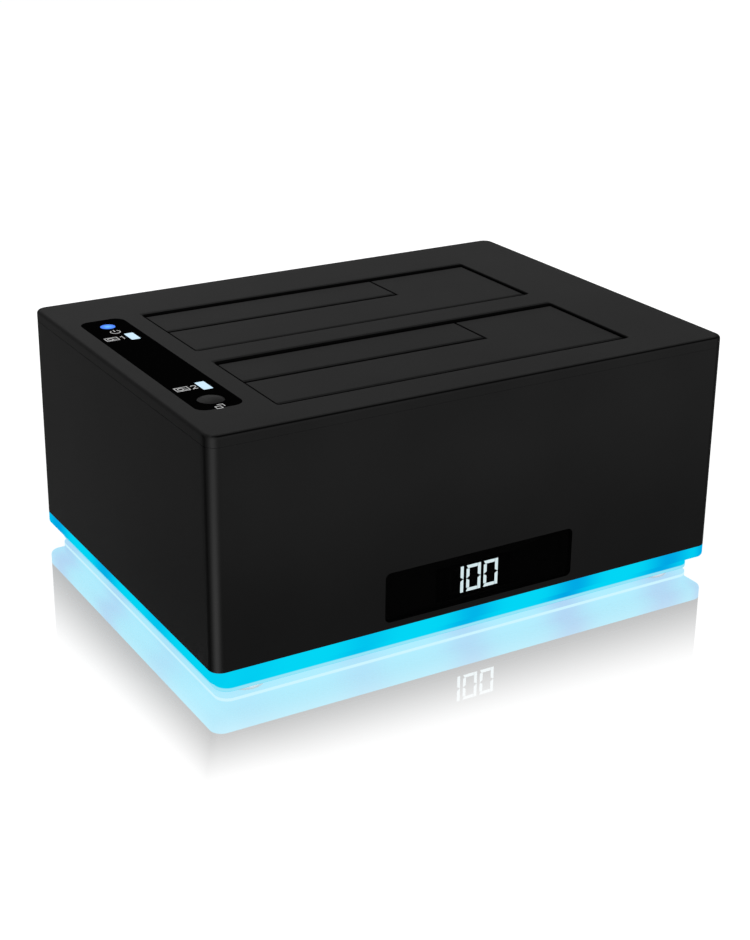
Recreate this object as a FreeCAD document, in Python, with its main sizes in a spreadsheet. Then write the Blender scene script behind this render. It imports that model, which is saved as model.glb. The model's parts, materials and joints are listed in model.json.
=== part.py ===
import FreeCAD, Part
import Sketcher
import math
import os
import re

# A free-standing two-bay drive duplicator, in millimetres.
# The origin is the middle of its footprint on the surface it stands on: +X right, +Y back, +Z up.
# The source bay is the rear one and the target bay is the front one.

doc = FreeCAD.newDocument("drive_duplicator")
sheet = doc.addObject("Spreadsheet::Sheet", "Sizes")

driving = {
    # casing
    "width": 151.0, "depth": 111.7, "corner_radius": 3.2, "wall": 2.5,
    "foot_stand": 0.9, "tray_height": 3.7, "flange_height": 3.6, "flange_edge_round": 1.0,
    "housing_height": 57.5, "cover_thickness": 3.0, "cover_edge_round": 1.0, "seam_round": 0.15,
    "assembly_gap": 0.2,
    # translucent base and feet
    "tray_inset": 3.0, "tray_corner_radius": 3.5, "tray_wall": 2.5, "tray_floor": 2.0,
    "foot_radius": 5.0, "foot_sink": 1.0, "foot_side": 12.5, "foot_end": 9.5, "foot_gap": 0.1,
    "tub_boss_radius": 4.2,
    # screws that hold the base on
    "screw_head_radius": 2.5, "screw_head_height": 1.6, "screw_head_gap": 0.3,
    "screw_radius": 1.25, "screw_hole_gap": 0.1, "screw_length": 12.0,
    # chassis plate and housing bosses
    "plate_thickness": 1.2, "boss_radius": 4.0, "boss_height": 14.0, "boss_web": 2.4,
    # slots in the cover; slot_gap_share is the part of the depth behind the front slot's edge
    # that isn't slot and lies between the two slots
    "slot_side": 23.6, "slot_end": 23.4, "slot_width": 34.6, "slot_front": 11.3,
    "slot_gap_share": 1 / 3, "slot_corner": 0.8, "slot_edge_round": 0.5,
    "collar_depth": 5.0, "collar_wall": 2.0,
    "skirt_depth": 3.0, "skirt_wall": 1.5,
    "clip_width": 8.0, "clip_depth": 4.0, "clip_barb": 0.8, "clip_barb_height": 1.6,
    "clip_spread": 52.0,
    # bay liners
    "liner_wall": 1.5, "liner_floor": 1.5, "liner_bottom": 20.5,
    "ear_length": 7.0, "ear_width": 8.0, "ear_thickness": 1.5, "ear_boss_radius": 2.6,
    "ear_screw_radius": 1.0, "ear_screw_length": 5.0, "ear_head_radius": 1.9, "ear_head_height": 1.3,
    "ear_reach": 4.3,
    # flaps and their hinges
    "flap_recess": 0.45, "flap_thickness": 1.8, "flap_gap": 0.55, "flap_front_gap": 1.0,
    "flap_rear_gap": 0.8,
    "flap_edge_round": 0.3, "flap_rib": 1.0, "flap_rib_height": 1.0, "flap_rib_inset": 3.0,
    "flap_block_length": 32.1, "small_flap_depth": 15.7, "small_flap_gap": 0.45,
    "hinge_drop": 2.55, "knuckle_radius": 1.8, "knuckle_gap": 0.4, "knuckle_length": 6.0,
    "knuckle_end": 2.0, "pin_radius": 0.8, "pin_clearance": 0.05,
    "spring_wire": 0.4, "spring_coil_radius": 1.15, "spring_length": 5.0, "spring_pitch": 1.0,
    "spring_leg": 5.8, "spring_leg_rise": 16.0, "spring_heel": 1.7, "spring_offset": 11.0,
    # control panel
    "panel_side": 5.25, "panel_width": 12.4, "panel_front": 15.9, "panel_length": 76.1,
    "panel_corner": 3.0, "panel_thickness": 1.2, "panel_gap": 0.05,
    "power_lens_x": 11.45, "power_lens_y": 86.0, "power_lens_radius": 2.0,
    "bay_lens_x": 14.05, "bay_lens_width": 2.5, "bay_lens_length": 5.6,
    "source_lens_y": 75.5, "target_lens_y": 31.85, "bay_lens_corner": 0.3,
    "lens_gap": 0.05, "lens_collar": 0.7, "lens_collar_height": 0.8, "led_air": 0.3,
    "button_x": 11.55, "button_y": 22.7, "button_radius": 3.4, "button_gap": 0.15,
    "button_crown": 0.5, "button_flange": 0.9, "button_flange_height": 0.6,
    "button_rest_gap": 0.3, "button_stem_radius": 1.5, "button_travel": 0.8,
    # control board
    "board_thickness": 1.6, "control_board_drop": 6.4, "control_board_side": 5.45,
    "control_board_width": 10.4, "control_board_front": 17.4, "control_board_length": 72.0,
    "tact_size": 6.0, "tact_height": 3.5, "plunger_radius": 1.5, "plunger_out": 1.0,
    "plunger_in": 1.0, "plunger_clearance": 0.1,
    "led_width": 2.2, "led_length": 3.0, "led_height": 1.5,
    "control_post_x": 9.85, "control_post_first": 42.4, "control_post_second": 62.4,
    "small_post_radius": 2.2, "small_screw_radius": 0.9, "small_screw_length": 5.0,
    "small_head_radius": 1.7, "small_head_height": 1.2,
    # display
    "window_width": 56.7, "window_height": 13.5, "window_rise": 1.8, "window_corner": 1.5,
    "window_thickness": 1.5, "window_gap": 0.05,
    "module_width": 22.5, "module_height": 9.0, "module_depth": 5.9, "module_gap": 0.2,
    "module_shift": 1.2, "module_drop": 0.95,
    "digit_height": 7.25, "digit_width": 4.25, "digit_pitch": 5.25, "segment_width": 0.8,
    "segment_depth": 0.3, "segment_split": 0.18,
    "display_board_width": 50.0, "display_board_height": 11.6, "display_post_x": 20.5,
    # main board
    "standoff_height": 5.0, "standoff_radius": 2.5, "standoff_inset": 4.5,
    "main_board_side": 18.0, "main_board_front": 15.0, "main_board_back": 6.0,
    # drive connectors
    "connector_from_end": 31.3, "connector_from_hinge": 8.5, "connector_length": 43.0,
    "connector_width": 6.0, "connector_height": 9.5, "connector_gap": 0.3,
    "blade_slot_width": 2.4, "blade_slot_depth": 5.0, "power_slot_length": 20.6,
    "signal_slot_length": 10.6, "slot_spacing": 2.4, "tongue_thickness": 1.0,
    # rear sockets, in a shallow recess; jack_share is the part of the room before the bay it takes
    "recess_depth": 2.0, "recess_length": 100.0, "recess_bottom": 14.5, "recess_height": 22.0,
    "recess_corner": 2.0, "recess_rim": 2.0,
    "jack_in": 19.0, "jack_width": 9.0, "jack_height": 11.0, "jack_share": 0.86,
    "jack_bore_radius": 3.15, "jack_pin_radius": 1.0, "jack_back_wall": 2.0,
    "jack_bore_rise": 6.5, "jack_pin_sink": 1.0, "jack_hole_radius": 4.0,
    "usb_x": 12.0, "usb_width": 8.9, "usb_height": 3.2, "usb_depth": 7.4, "usb_wall": 0.3,
    "usb_corner": 1.5, "usb_tongue_width": 6.6, "usb_tongue_height": 0.7, "usb_hole_gap": 0.3,
    "usb_back_wall": 1.0, "usb_tongue_sink": 1.0,
    # power switch; the shares are of the room left behind its cavity
    "switch_x": -36.0, "switch_z": 26.0, "bezel_width": 10.6, "bezel_height": 15.2,
    "bezel_thickness": 1.2, "switch_width": 8.6, "switch_height": 13.6, "switch_back_share": 0.42,
    "switch_wall": 0.7, "switch_cavity": 6.6, "switch_gap": 0.15, "bezel_corner": 1.0,
    "cavity_extra": 0.6,
    "rocker_half": 5.6, "rocker_centre": 1.5, "rocker_slope": 10.0, "rocker_back": 1.2,
    "rocker_tilt": 10.0, "rocker_pivot_depth": 1.8, "rocker_side_gap": 0.15,
    "pivot_radius": 0.8, "pivot_clearance": 0.05,
    "tab_width": 2.0, "tab_thickness": 0.8, "tab_share": 0.3, "tab_spacing": 9.0,
    "tab_shift": 1.5, "lead_radius": 0.6,
    # parts on the main board
    "chip_size": 12.0, "chip_height": 1.2, "sink_height": 3.0, "sink_base": 1.0,
    "sink_fin": 0.8, "sink_fin_pitch": 2.8, "memory_width": 6.0, "memory_length": 8.0,
    "chip_x": 12.0, "chip_shift": 2.0, "memory_x": 24.0, "coil_in": 10.0, "coil_pitch": 9.0,
    "coil_size": 6.0, "coil_height": 3.0, "can_radius": 3.15, "can_height": 8.0,
    "can_spacing": 8.0, "first_can_x": -20.0,
    "header_width": 4.0, "header_length": 9.0, "header_height": 3.2,
    # flat cables
    "panel_ribbon_y": 50.0, "ribbon_width": 7.0, "ribbon_thickness": 0.8,
    "lead_width": 4.0, "lead_gap": 0.6, "lead_reach": 4.0,
    # lights in the base
    "strip_width": 4.0, "strip_thickness": 1.0, "strip_inset": 8.0, "strip_end": 20.0,
    "strip_led": 3.5, "strip_led_height": 1.9, "strip_led_pitch": 13.0,
}

for line, (alias, number) in enumerate(driving.items(), 1):
    sheet.set(f"A{line}", alias)
    sheet.set(f"B{line}", str(number))
    sheet.setAlias(f"B{line}", alias)
doc.recompute()

# Levels and lines that follow from the driving sizes.
derived = {
    "left": "-width / 2", "right": "width / 2", "front": "-depth / 2", "back": "depth / 2",
    "tray_bottom": "foot_stand",
    "flange_bottom": "tray_bottom + tray_height",
    "base_top": "flange_bottom + flange_height",
    "plate_top": "base_top + plate_thickness",
    "seam": "base_top + housing_height",
    "top": "seam + cover_thickness",
    "tub_floor": "tray_bottom + tray_floor",
    "foot_x": "width / 2 - foot_side", "foot_y": "depth / 2 - foot_end",
    "head_seat": "tray_bottom + foot_sink + screw_head_height + screw_head_gap",
    "slot_left": "left + slot_side", "slot_right": "right - slot_end",
    "slot_pitch": "slot_width + slot_gap_share * (depth - slot_front - 2 * slot_width)",
    "slots_back": "front + slot_front + slot_pitch + slot_width",
    "collar_bottom": "seam - collar_depth",
    "ear_bottom": "collar_bottom - ear_thickness",
    "flap_top": "top - flap_recess", "flap_bottom": "flap_top - flap_thickness",
    "hinge_z": "flap_top - hinge_drop",
    "panel_left": "left + panel_side", "panel_right": "panel_left + panel_width",
    "panel_low": "front + panel_front", "panel_high": "panel_low + panel_length",
    "panel_bottom": "top - panel_thickness",
    "control_board_top": "seam - control_board_drop",
    "control_board_bottom": "control_board_top - board_thickness",
    "led_top": "control_board_top + led_height",
    "lens_bottom": "led_top + led_air",
    "tact_top": "control_board_top + tact_height",
    "stem_bottom": "tact_top + plunger_out",
    "flange_top": "seam - button_rest_gap",
    "window_low": "base_top + window_rise", "window_top": "window_low + window_height",
    "window_mid": "window_low + window_height / 2",
    "module_x": "-module_shift", "module_z": "window_mid - module_drop",
    "module_front": "front + window_thickness + module_gap",
    "display_board_front": "module_front + module_depth",
    "display_board_back": "display_board_front + board_thickness",
    "board_bottom": "plate_top + standoff_height",
    "board_top": "board_bottom + board_thickness",
    "board_left": "left + main_board_side", "board_right": "right - main_board_side",
    "board_front": "front + main_board_front", "board_back": "back - main_board_back",
    "jack_x": "board_right - jack_in",
    "inner_back": "back - wall - recess_depth",
    "recess_floor": "back - recess_depth",
    "socket_room": "inner_back - slots_back - liner_wall",
    "jack_depth": "jack_share * socket_room",
    "switch_spare": "socket_room + wall - switch_cavity",
    "switch_depth": "switch_cavity + switch_back_share * switch_spare",
    "connector_x": "slot_left + connector_from_end",
    "connector_top": "board_top + connector_height",
    "rocker_y": "recess_floor - rocker_pivot_depth",
    "strip_top": "tub_floor + strip_thickness",
}


def spell(formula):
    # writes a formula of size names as an expression on the sheet's cells
    def name(match):
        word = match.group(0)
        if word in derived:
            return f"({spell(derived[word])})"
        return f"Sizes.{word}" if word in driving else word
    return re.sub(r"[A-Za-z_]\w*", name, str(formula))


def value(formula):
    return float(sheet.evalExpression(spell(formula)))


def bind(thing, setting, formula):
    thing.setExpression(setting, spell(formula))


nodes = {}
cuts = []
counter = iter(range(1, 10000))


def keep(thing, node):
    thing.Label = node
    nodes[node] = thing
    return thing


# ---- sketches and the features made from them ----

def rect(across, up, radius=None):
    return ("rect", across, up, radius)


def circle(x, y, radius):
    return ("circle", x, y, radius)


def outline(*points):
    return ("outline", points)


def drawLines(sketch, corners):
    # a closed run of lines through corners, each corner held at its two formulas
    spots = [FreeCAD.Vector(value(x), value(y), 0) for x, y in corners]
    count = len(spots)
    first = sketch.GeometryCount
    for i in range(count):
        sketch.addGeometry(Part.LineSegment(spots[i], spots[(i + 1) % count]), False)
    for i in range(count):
        sketch.addConstraint(Sketcher.Constraint("Coincident", first + i, 2, first + (i + 1) % count, 1))
    for i, (x, y) in enumerate(corners):
        for kind, formula in (("DistanceX", x), ("DistanceY", y)):
            number = sketch.addConstraint(Sketcher.Constraint(kind, first + i, 1, value(formula)))
            bind(sketch, f"Constraints[{number}]", formula)


def drawRounded(sketch, across, up, radius):
    # four lines and four tangent arcs, counter-clockwise from the lower line
    (low_x, high_x), (low_y, high_y) = across, up
    x0, x1, y0, y1, r = (value(f) for f in (low_x, high_x, low_y, high_y, radius))
    first = sketch.GeometryCount
    corners = [(x1 - r, y0 + r), (x1 - r, y1 - r), (x0 + r, y1 - r), (x0 + r, y0 + r)]
    starts = [(x0 + r, y0), (x1, y0 + r), (x1 - r, y1), (x0, y1 - r)]
    ends = [(x1 - r, y0), (x1, y1 - r), (x0 + r, y1), (x0, y0 + r)]
    for i in range(4):
        line = Part.LineSegment(FreeCAD.Vector(*starts[i], 0), FreeCAD.Vector(*ends[i], 0))
        turn = Part.Circle(FreeCAD.Vector(*corners[i], 0), FreeCAD.Vector(0, 0, 1), r)
        begin = (i - 1) * math.pi / 2
        sketch.addGeometry(line, False)
        sketch.addGeometry(Part.ArcOfCircle(turn, begin, begin + math.pi / 2), False)
    rules = []
    for i in range(4):
        line, arc, following = first + 2 * i, first + 2 * i + 1, first + (2 * i + 2) % 8
        rules.append(Sketcher.Constraint("Tangent", line, 2, arc, 1))
        rules.append(Sketcher.Constraint("Tangent", arc, 2, following, 1))
        rules.append(Sketcher.Constraint("Horizontal" if i % 2 == 0 else "Vertical", line))
    for i in range(3):
        rules.append(Sketcher.Constraint("Equal", first + 2 * i + 1, first + 2 * i + 3))
    sketch.addConstraint(rules)
    held = (("Radius", first + 1, None, radius), ("DistanceX", first + 6, 1, low_x),
            ("DistanceX", first + 2, 1, high_x), ("DistanceY", first, 1, low_y),
            ("DistanceY", first + 4, 1, high_y))
    for kind, line, end, formula in held:
        if end is None:
            rule = Sketcher.Constraint(kind, line, value(formula))
        else:
            rule = Sketcher.Constraint(kind, line, end, value(formula))
        bind(sketch, f"Constraints[{sketch.addConstraint(rule)}]", formula)


def drawCircle(sketch, x, y, radius):
    centre = FreeCAD.Vector(value(x), value(y), 0)
    ring = sketch.addGeometry(Part.Circle(centre, FreeCAD.Vector(0, 0, 1), value(radius)), False)
    for kind, formula in (("DistanceX", x), ("DistanceY", y)):
        number = sketch.addConstraint(Sketcher.Constraint(kind, ring, 3, value(formula)))
        bind(sketch, f"Constraints[{number}]", formula)
    number = sketch.addConstraint(Sketcher.Constraint("Radius", ring, value(radius)))
    bind(sketch, f"Constraints[{number}]", radius)


planes = {"x": ("YZ_Plane", 1), "y": ("XZ_Plane", -1), "z": ("XY_Plane", 1)}


def sketchOn(body, axis, station, shapes):
    # a sketch square to the axis: x sketches show Y and Z, y sketches X and Z, z sketches X and Y
    plane, sign = planes[axis]
    sketch = body.newObject("Sketcher::SketchObject", f"Sketch{next(counter)}")
    sketch.AttachmentSupport = [(next(f for f in body.Origin.OriginFeatures if f.Role == plane), "")]
    sketch.MapMode = "FlatFace"
    bind(sketch, "AttachmentOffset.Base.z", f"{sign} * ({station})")
    for kind, *detail in shapes:
        if kind == "circle":
            drawCircle(sketch, *detail)
        elif kind == "outline":
            drawLines(sketch, detail[0])
        elif detail[2] is None:
            (x0, x1), (y0, y1), _ = detail
            drawLines(sketch, [(x0, y0), (x1, y0), (x1, y1), (x0, y1)])
        else:
            drawRounded(sketch, *detail)
    return sketch


def newBody(node):
    return keep(doc.addObject("PartDesign::Body", "Body"), node)


def pad(body, axis, span, *shapes):
    low, high = span
    station = low if planes[axis][1] > 0 else high
    feature = body.newObject("PartDesign::Pad", f"Pad{next(counter)}")
    feature.Profile = sketchOn(body, axis, station, shapes)
    bind(feature, "Length", f"({high}) - ({low})")
    body.Tip = feature
    return feature


def pocket(body, axis, span, *shapes):
    low, high = span
    station = high if planes[axis][1] > 0 else low
    feature = body.newObject("PartDesign::Pocket", f"Pocket{next(counter)}")
    feature.Profile = sketchOn(body, axis, station, shapes)
    bind(feature, "Length", f"({high}) - ({low})")
    body.Tip = feature
    cuts.append(feature)
    return feature


def roundFaceEdges(body, height, radius, holes=False):
    # rounds the outer edge of the level face at this height, or the edges of its holes
    doc.recompute()
    last = body.Tip
    level = value(height)
    spans = [(face, face.BoundBox.ZMin, face.BoundBox.ZMax) for face in last.Shape.Faces]
    face = next(f for f, low, high in spans if max(abs(low - level), abs(high - level)) < 1e-6)
    outer = face.OuterWire.Edges
    wanted = [e for e in face.Edges if any(e.isSame(o) for o in outer) != holes]
    names = [f"Edge{i}" for i, edge in enumerate(last.Shape.Edges, 1) if any(edge.isSame(e) for e in wanted)]
    feature = body.newObject("PartDesign::Fillet", f"Fillet{next(counter)}")
    feature.Base = (last, names)
    bind(feature, "Radius", radius)
    body.Tip = feature


# ---- primitives, joins and groups ----

def block(x, y, z):
    solid = doc.addObject("Part::Box", f"Block{next(counter)}")
    for side, axis, (low, high) in zip(("Length", "Width", "Height"), "xyz", (x, y, z)):
        bind(solid, side, f"({high}) - ({low})")
        bind(solid, f"Placement.Base.{axis}", low)
    return solid


turns = {"x": FreeCAD.Rotation(FreeCAD.Vector(0, 1, 0), 90),
         "y": FreeCAD.Rotation(FreeCAD.Vector(1, 0, 0), -90),
         "z": FreeCAD.Rotation()}


def rod(axis, span, centre, radius):
    # a cylinder along the axis; its centre gives the other two directions in X, Y, Z order
    solid = doc.addObject("Part::Cylinder", f"Rod{next(counter)}")
    solid.Placement = FreeCAD.Placement(FreeCAD.Vector(), turns[axis])
    low, high = span
    bind(solid, "Radius", radius)
    bind(solid, "Height", f"({high}) - ({low})")
    others = iter(centre)
    for letter in "xyz":
        bind(solid, f"Placement.Base.{letter}", low if letter == axis else next(others))
    return solid


def join(*solids):
    whole = doc.addObject("Part::MultiFuse", f"Join{next(counter)}")
    whole.Shapes = list(solids)
    return whole


def cut(base, *tools):
    tool = tools[0] if len(tools) == 1 else join(*tools)
    rest = doc.addObject("Part::Cut", f"Cut{next(counter)}")
    rest.Base, rest.Tool = base, tool
    cuts.append(rest)
    return rest


def group(node, solids):
    whole = doc.addObject("Part::Compound", f"Group{next(counter)}")
    whole.Links = list(solids)
    return keep(whole, node)


def screw(axis, seat, tip, centre, radius, head_radius, head_height):
    # a pan-head screw: its head lies on the seat, away from the tip
    inward = value(tip) > value(seat)
    shank = (seat, tip) if inward else (tip, seat)
    head = (f"({seat}) - ({head_height})", seat) if inward else (seat, f"({seat}) + ({head_height})")
    return join(rod(axis, shank, centre, radius), rod(axis, head, centre, head_radius))


def about(centre, half):
    return f"({centre}) - ({half})", f"({centre}) + ({half})"


def square(x, y, width, length):
    return about(x, f"{width} / 2"), about(y, f"{length} / 2")


def circles(spots, radius):
    return [circle(x, y, radius) for x, y in spots]


corners = [(x, y) for x in ("-", "+") for y in ("-", "+")]
footprint = (("left", "right"), ("front", "back"))


def inset(formula):
    return (f"left + ({formula})", f"right - ({formula})"), (f"front + ({formula})", f"back - ({formula})")


def footSpots():
    return [(f"0 {x} foot_x", f"0 {y} foot_y") for x, y in corners]


# ---- translucent base, feet and what holds them ----

def makeLightBase():
    body = newBody("light_base")
    pad(body, "z", ("tray_bottom", "flange_bottom"), rect(*inset("tray_inset"), "tray_corner_radius"))
    pad(body, "z", ("flange_bottom", "base_top"), rect(*footprint, "corner_radius"))
    roundFaceEdges(body, "flange_bottom", "flange_edge_round")
    pocket(body, "z", ("tub_floor", "base_top"), rect(*inset("tray_inset + tray_wall"), None))
    pad(body, "z", ("tub_floor", "base_top"), *circles(footSpots(), "tub_boss_radius"))
    pocket(body, "z", ("tray_bottom", "tray_bottom + foot_sink"),
           *circles(footSpots(), "foot_radius + foot_gap"))
    pocket(body, "z", ("tray_bottom + foot_sink", "head_seat"),
           *circles(footSpots(), "screw_head_radius + screw_hole_gap"))
    pocket(body, "z", ("head_seat", "base_top"),
           *circles(footSpots(), "screw_radius + screw_hole_gap"))


def makeFeet():
    group("feet", [rod("z", ("0", "foot_stand + foot_sink"), spot, "foot_radius") for spot in footSpots()])


def makeCaseScrews():
    group("case_screws", [screw("z", "head_seat", "head_seat + screw_length", spot, "screw_radius",
                                "screw_head_radius", "screw_head_height") for spot in footSpots()])


def makeChassisPlate():
    body = newBody("chassis_plate")
    pad(body, "z", ("base_top", "plate_top"), rect(*inset("wall + assembly_gap"), "corner_radius - wall"))
    pocket(body, "z", ("base_top", "plate_top"),
           *circles(footSpots(), "screw_radius + screw_hole_gap"),
           rect(*leadSides("lead_gap")))


def lampCount(length):
    return int((value(f"{length} - 2 * strip_end - strip_led")) // value("strip_led_pitch")) + 1


def leadSides(extra="0"):
    # the leads of the lights climb between two lamps of the front strip, at its rear edge
    x = f"{lampCount('width') % 2} * strip_led_pitch / 2"
    y = "front + strip_inset + strip_width"
    return about(x, f"lead_width / 2 + {extra}"), (f"{y} - ribbon_thickness - {extra}", f"{y} + {extra}")


def makeLights():
    inner = "strip_inset + strip_width"
    along_x = ("left + strip_end", "right - strip_end")
    along_y = ("front + strip_end", "back - strip_end")
    strips = [(along_x, ("front + strip_inset", f"front + {inner}")),
              (along_x, (f"back - ({inner})", "back - strip_inset")),
              (("left + strip_inset", f"left + {inner}"), along_y),
              ((f"right - ({inner})", "right - strip_inset"), along_y)]
    group("light_strips", [block(x, y, ("tub_floor", "strip_top")) for x, y in strips])
    lamps = []
    for axis, side in (("x", "front"), ("x", "back"), ("y", "left"), ("y", "right")):
        count = lampCount("width" if axis == "x" else "depth")
        sign = "+" if side in ("front", "left") else "-"
        middle = f"{side} {sign} (strip_inset + strip_width / 2)"
        across = about(middle, "strip_led / 2")
        for i in range(count):
            run = about(f"({i} - {(count - 1) / 2}) * strip_led_pitch", "strip_led / 2")
            x, y = (run, across) if axis == "x" else (across, run)
            lamps.append(block(x, y, ("strip_top", "strip_top + strip_led_height")))
    group("strip_leds", lamps)
    x, (low, high) = leadSides()
    under = "board_bottom - ribbon_thickness"
    behind = "board_front + lead_reach"
    leads = newBody("light_leads")
    pad(leads, "x", x, outline((low, "strip_top"), (high, "strip_top"), (high, under), (behind, under),
                               (behind, "board_bottom"), (low, "board_bottom")))


# ---- housing ----

def clipSpots():
    return [("front", "+", s) for s in ("-", "+")] + [("back", "-", s) for s in ("-", "+")]


def makeHousing():
    body = newBody("housing")
    pad(body, "z", ("base_top", "seam"), rect(*footprint, "corner_radius"))
    roundFaceEdges(body, "seam", "seam_round")
    pocket(body, "z", ("base_top", "seam"), rect(*inset("wall"), "corner_radius - wall"))
    # corner bosses, each tied to both walls by a web
    boss = ("plate_top", "plate_top + boss_height")
    pad(body, "z", boss, *circles(footSpots(), "boss_radius"))
    for sx, sy in corners:
        side, end = ("left", "right")[sx == "+"], ("front", "back")[sy == "+"]
        x, y = f"0 {sx} foot_x", f"0 {sy} foot_y"
        across = (f"{side} + wall / 2", x) if sx == "-" else (x, f"{side} - wall / 2")
        along = (f"{end} + wall / 2", y) if sy == "-" else (y, f"{end} - wall / 2")
        pad(body, "z", boss, rect(across, about(y, "boss_web / 2")))
        pad(body, "z", boss, rect(about(x, "boss_web / 2"), along))
    pocket(body, "z", boss, *circles(footSpots(), "screw_radius + screw_hole_gap"))
    # display window seat, the hole behind it, and the posts of the display board
    pocket(body, "y", ("front", "front + window_thickness"),
           rect(about("0", "window_width / 2 + window_gap"),
                ("window_low - window_gap", "window_top + window_gap"), "window_corner + window_gap"))
    pocket(body, "y", ("front + window_thickness", "front + wall"),
           rect(about("module_x", "module_width / 2 + module_gap"),
                about("module_z", "module_height / 2 + module_gap")))
    posts = [(f"0 {s} display_post_x", "window_mid") for s in ("-", "+")]
    pad(body, "y", ("front + wall", "display_board_front"), *circles(posts, "small_post_radius"))
    pocket(body, "y", ("front + wall", "display_board_front"),
           *circles(posts, "small_screw_radius + screw_hole_gap"))
    # sunk field for the rear sockets, with its wall carried inwards
    middle = "recess_bottom + recess_height / 2"
    field = square("0", middle, "recess_length", "recess_height")
    rim = square("0", middle, "(recess_length + 2 * recess_rim)", "(recess_height + 2 * recess_rim)")
    pad(body, "y", ("inner_back", "back - wall / 2"), rect(*rim))
    pocket(body, "y", ("recess_floor", "back"), rect(*field, "recess_corner"))
    pocket(body, "y", ("inner_back", "recess_floor"),
           circle("jack_x", "board_top + jack_bore_rise", "jack_hole_radius"),
           rect(about("usb_x", "usb_width / 2 + usb_hole_gap"),
                ("board_top - usb_hole_gap", "board_top + usb_height + usb_hole_gap"),
                "usb_corner + usb_hole_gap"),
           rect(about("switch_x", "switch_width / 2 + switch_gap"),
                about("switch_z", "switch_height / 2 + switch_gap")))
    # catches for the cover's clips
    catch = ("seam - skirt_depth - clip_depth - assembly_gap",
             "seam - skirt_depth - clip_depth + clip_barb_height + assembly_gap")
    for end, inward, side in clipSpots():
        x = about(f"0 {side} clip_spread", "clip_width / 2 + assembly_gap")
        edge = [f"{end} {inward} wall", f"{end} {inward} (wall - clip_barb - assembly_gap)"]
        y = tuple(edge) if end == "back" else tuple(reversed(edge))
        pocket(body, "y", y, rect(x, catch))


# ---- cover ----

bays = {"target": "0", "source": "slot_pitch"}


def slotY(bay):
    low = f"front + slot_front + {bays[bay]}"
    return low, f"{low} + slot_width"


def slotSides(bay, extra="0"):
    low, high = slotY(bay)
    return (f"slot_left - {extra}", f"slot_right + {extra}"), (f"{low} - {extra}", f"{high} + {extra}")


def hingeY(bay):
    return f"{slotY(bay)[1]} - knuckle_gap - knuckle_radius"


buttonSpot = ("left + button_x", "front + button_y")


def lensSpots():
    spots = {"power": ("left + power_lens_x", "front + power_lens_y")}
    spots["source"] = ("left + bay_lens_x", "front + source_lens_y")
    spots["target"] = ("left + bay_lens_x", "front + target_lens_y")
    return spots


def lensOutline(lens, extra="0"):
    x, y = lensSpots()[lens]
    if lens == "power":
        return circle(x, y, f"power_lens_radius + {extra}")
    return rect(about(x, f"bay_lens_width / 2 + {extra}"), about(y, f"bay_lens_length / 2 + {extra}"),
                f"bay_lens_corner + {extra}")


def panelHoles():
    # the button's hole and the lens holes, alike in the panel and in its seat
    lenses = [lensOutline(lens, "lens_gap") for lens in lensSpots()]
    return [circle(*buttonSpot, "button_radius + button_gap"), *lenses]


def earSpots(bay):
    middle = f"{slotY(bay)[0]} + slot_width / 2"
    return [("slot_left - ear_reach", middle), ("slot_right + ear_reach", middle)]


def controlPosts():
    return [("left + control_post_x", f"front + {y}") for y in ("control_post_first", "control_post_second")]


def makeTopCover():
    body = newBody("top_cover")
    pad(body, "z", ("seam", "top"), rect(*footprint, "corner_radius"))
    roundFaceEdges(body, "top", "cover_edge_round")
    roundFaceEdges(body, "seam", "seam_round")
    slots = [rect(*slotSides(bay), "slot_corner") for bay in bays]
    pocket(body, "z", ("seam", "top"), *slots)
    roundFaceEdges(body, "top", "slot_edge_round", holes=True)
    pocket(body, "z", ("panel_bottom", "top"),
           rect(("panel_left - panel_gap", "panel_right + panel_gap"),
                ("panel_low - panel_gap", "panel_high + panel_gap"), "panel_corner + panel_gap"))
    # locating skirt inside the housing walls
    skirt = "wall + assembly_gap"
    low = "seam - skirt_depth"
    pad(body, "z", (low, "seam"), rect(*inset(skirt), "corner_radius - wall"))
    pocket(body, "z", (low, "seam"), rect(*inset(f"{skirt} + skirt_wall"), None))
    for bay in bays:
        collar = ("collar_bottom", "seam")
        pad(body, "z", collar, rect(*slotSides(bay, "collar_wall"), "slot_corner + collar_wall"))
        pocket(body, "z", collar, rect(*slotSides(bay), "slot_corner"))
        pad(body, "z", ("collar_bottom", "seam"), *circles(earSpots(bay), "ear_boss_radius"))
        pocket(body, "z", ("collar_bottom", "ear_bottom + ear_screw_length + assembly_gap"),
               *circles(earSpots(bay), "ear_screw_radius + screw_hole_gap"))
        pocket(body, "x", ("slot_left - collar_wall", "slot_right + collar_wall"),
               circle(hingeY(bay), "hinge_z", "pin_radius + pin_clearance"))
    # posts for the control board
    pad(body, "z", ("control_board_top", "seam"), *circles(controlPosts(), "small_post_radius"))
    pocket(body, "z", ("control_board_top", "seam"),
           *circles(controlPosts(), "small_screw_radius + screw_hole_gap"))
    # ways through the panel seat for the lenses and the button
    pocket(body, "z", ("seam", "panel_bottom"), *panelHoles())
    # clips that snap into the housing
    for end, inward, side in clipSpots():
        x = about(f"0 {side} clip_spread", "clip_width / 2")
        face = f"{end} {inward} ({skirt})"
        edges = {"tab": (face, f"{end} {inward} ({skirt} + skirt_wall)"),
                 "barb": (f"{end} {inward} ({skirt} - clip_barb)", f"{end} {inward} ({skirt} + skirt_wall)")}
        y = {name: pair if end == "front" else pair[::-1] for name, pair in edges.items()}
        bottom = f"{low} - clip_depth"
        pad(body, "z", (bottom, low), rect(x, y["tab"]))
        pad(body, "z", (bottom, f"{bottom} + clip_barb_height"), rect(x, y["barb"]))


# ---- control panel, lenses and button ----

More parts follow.
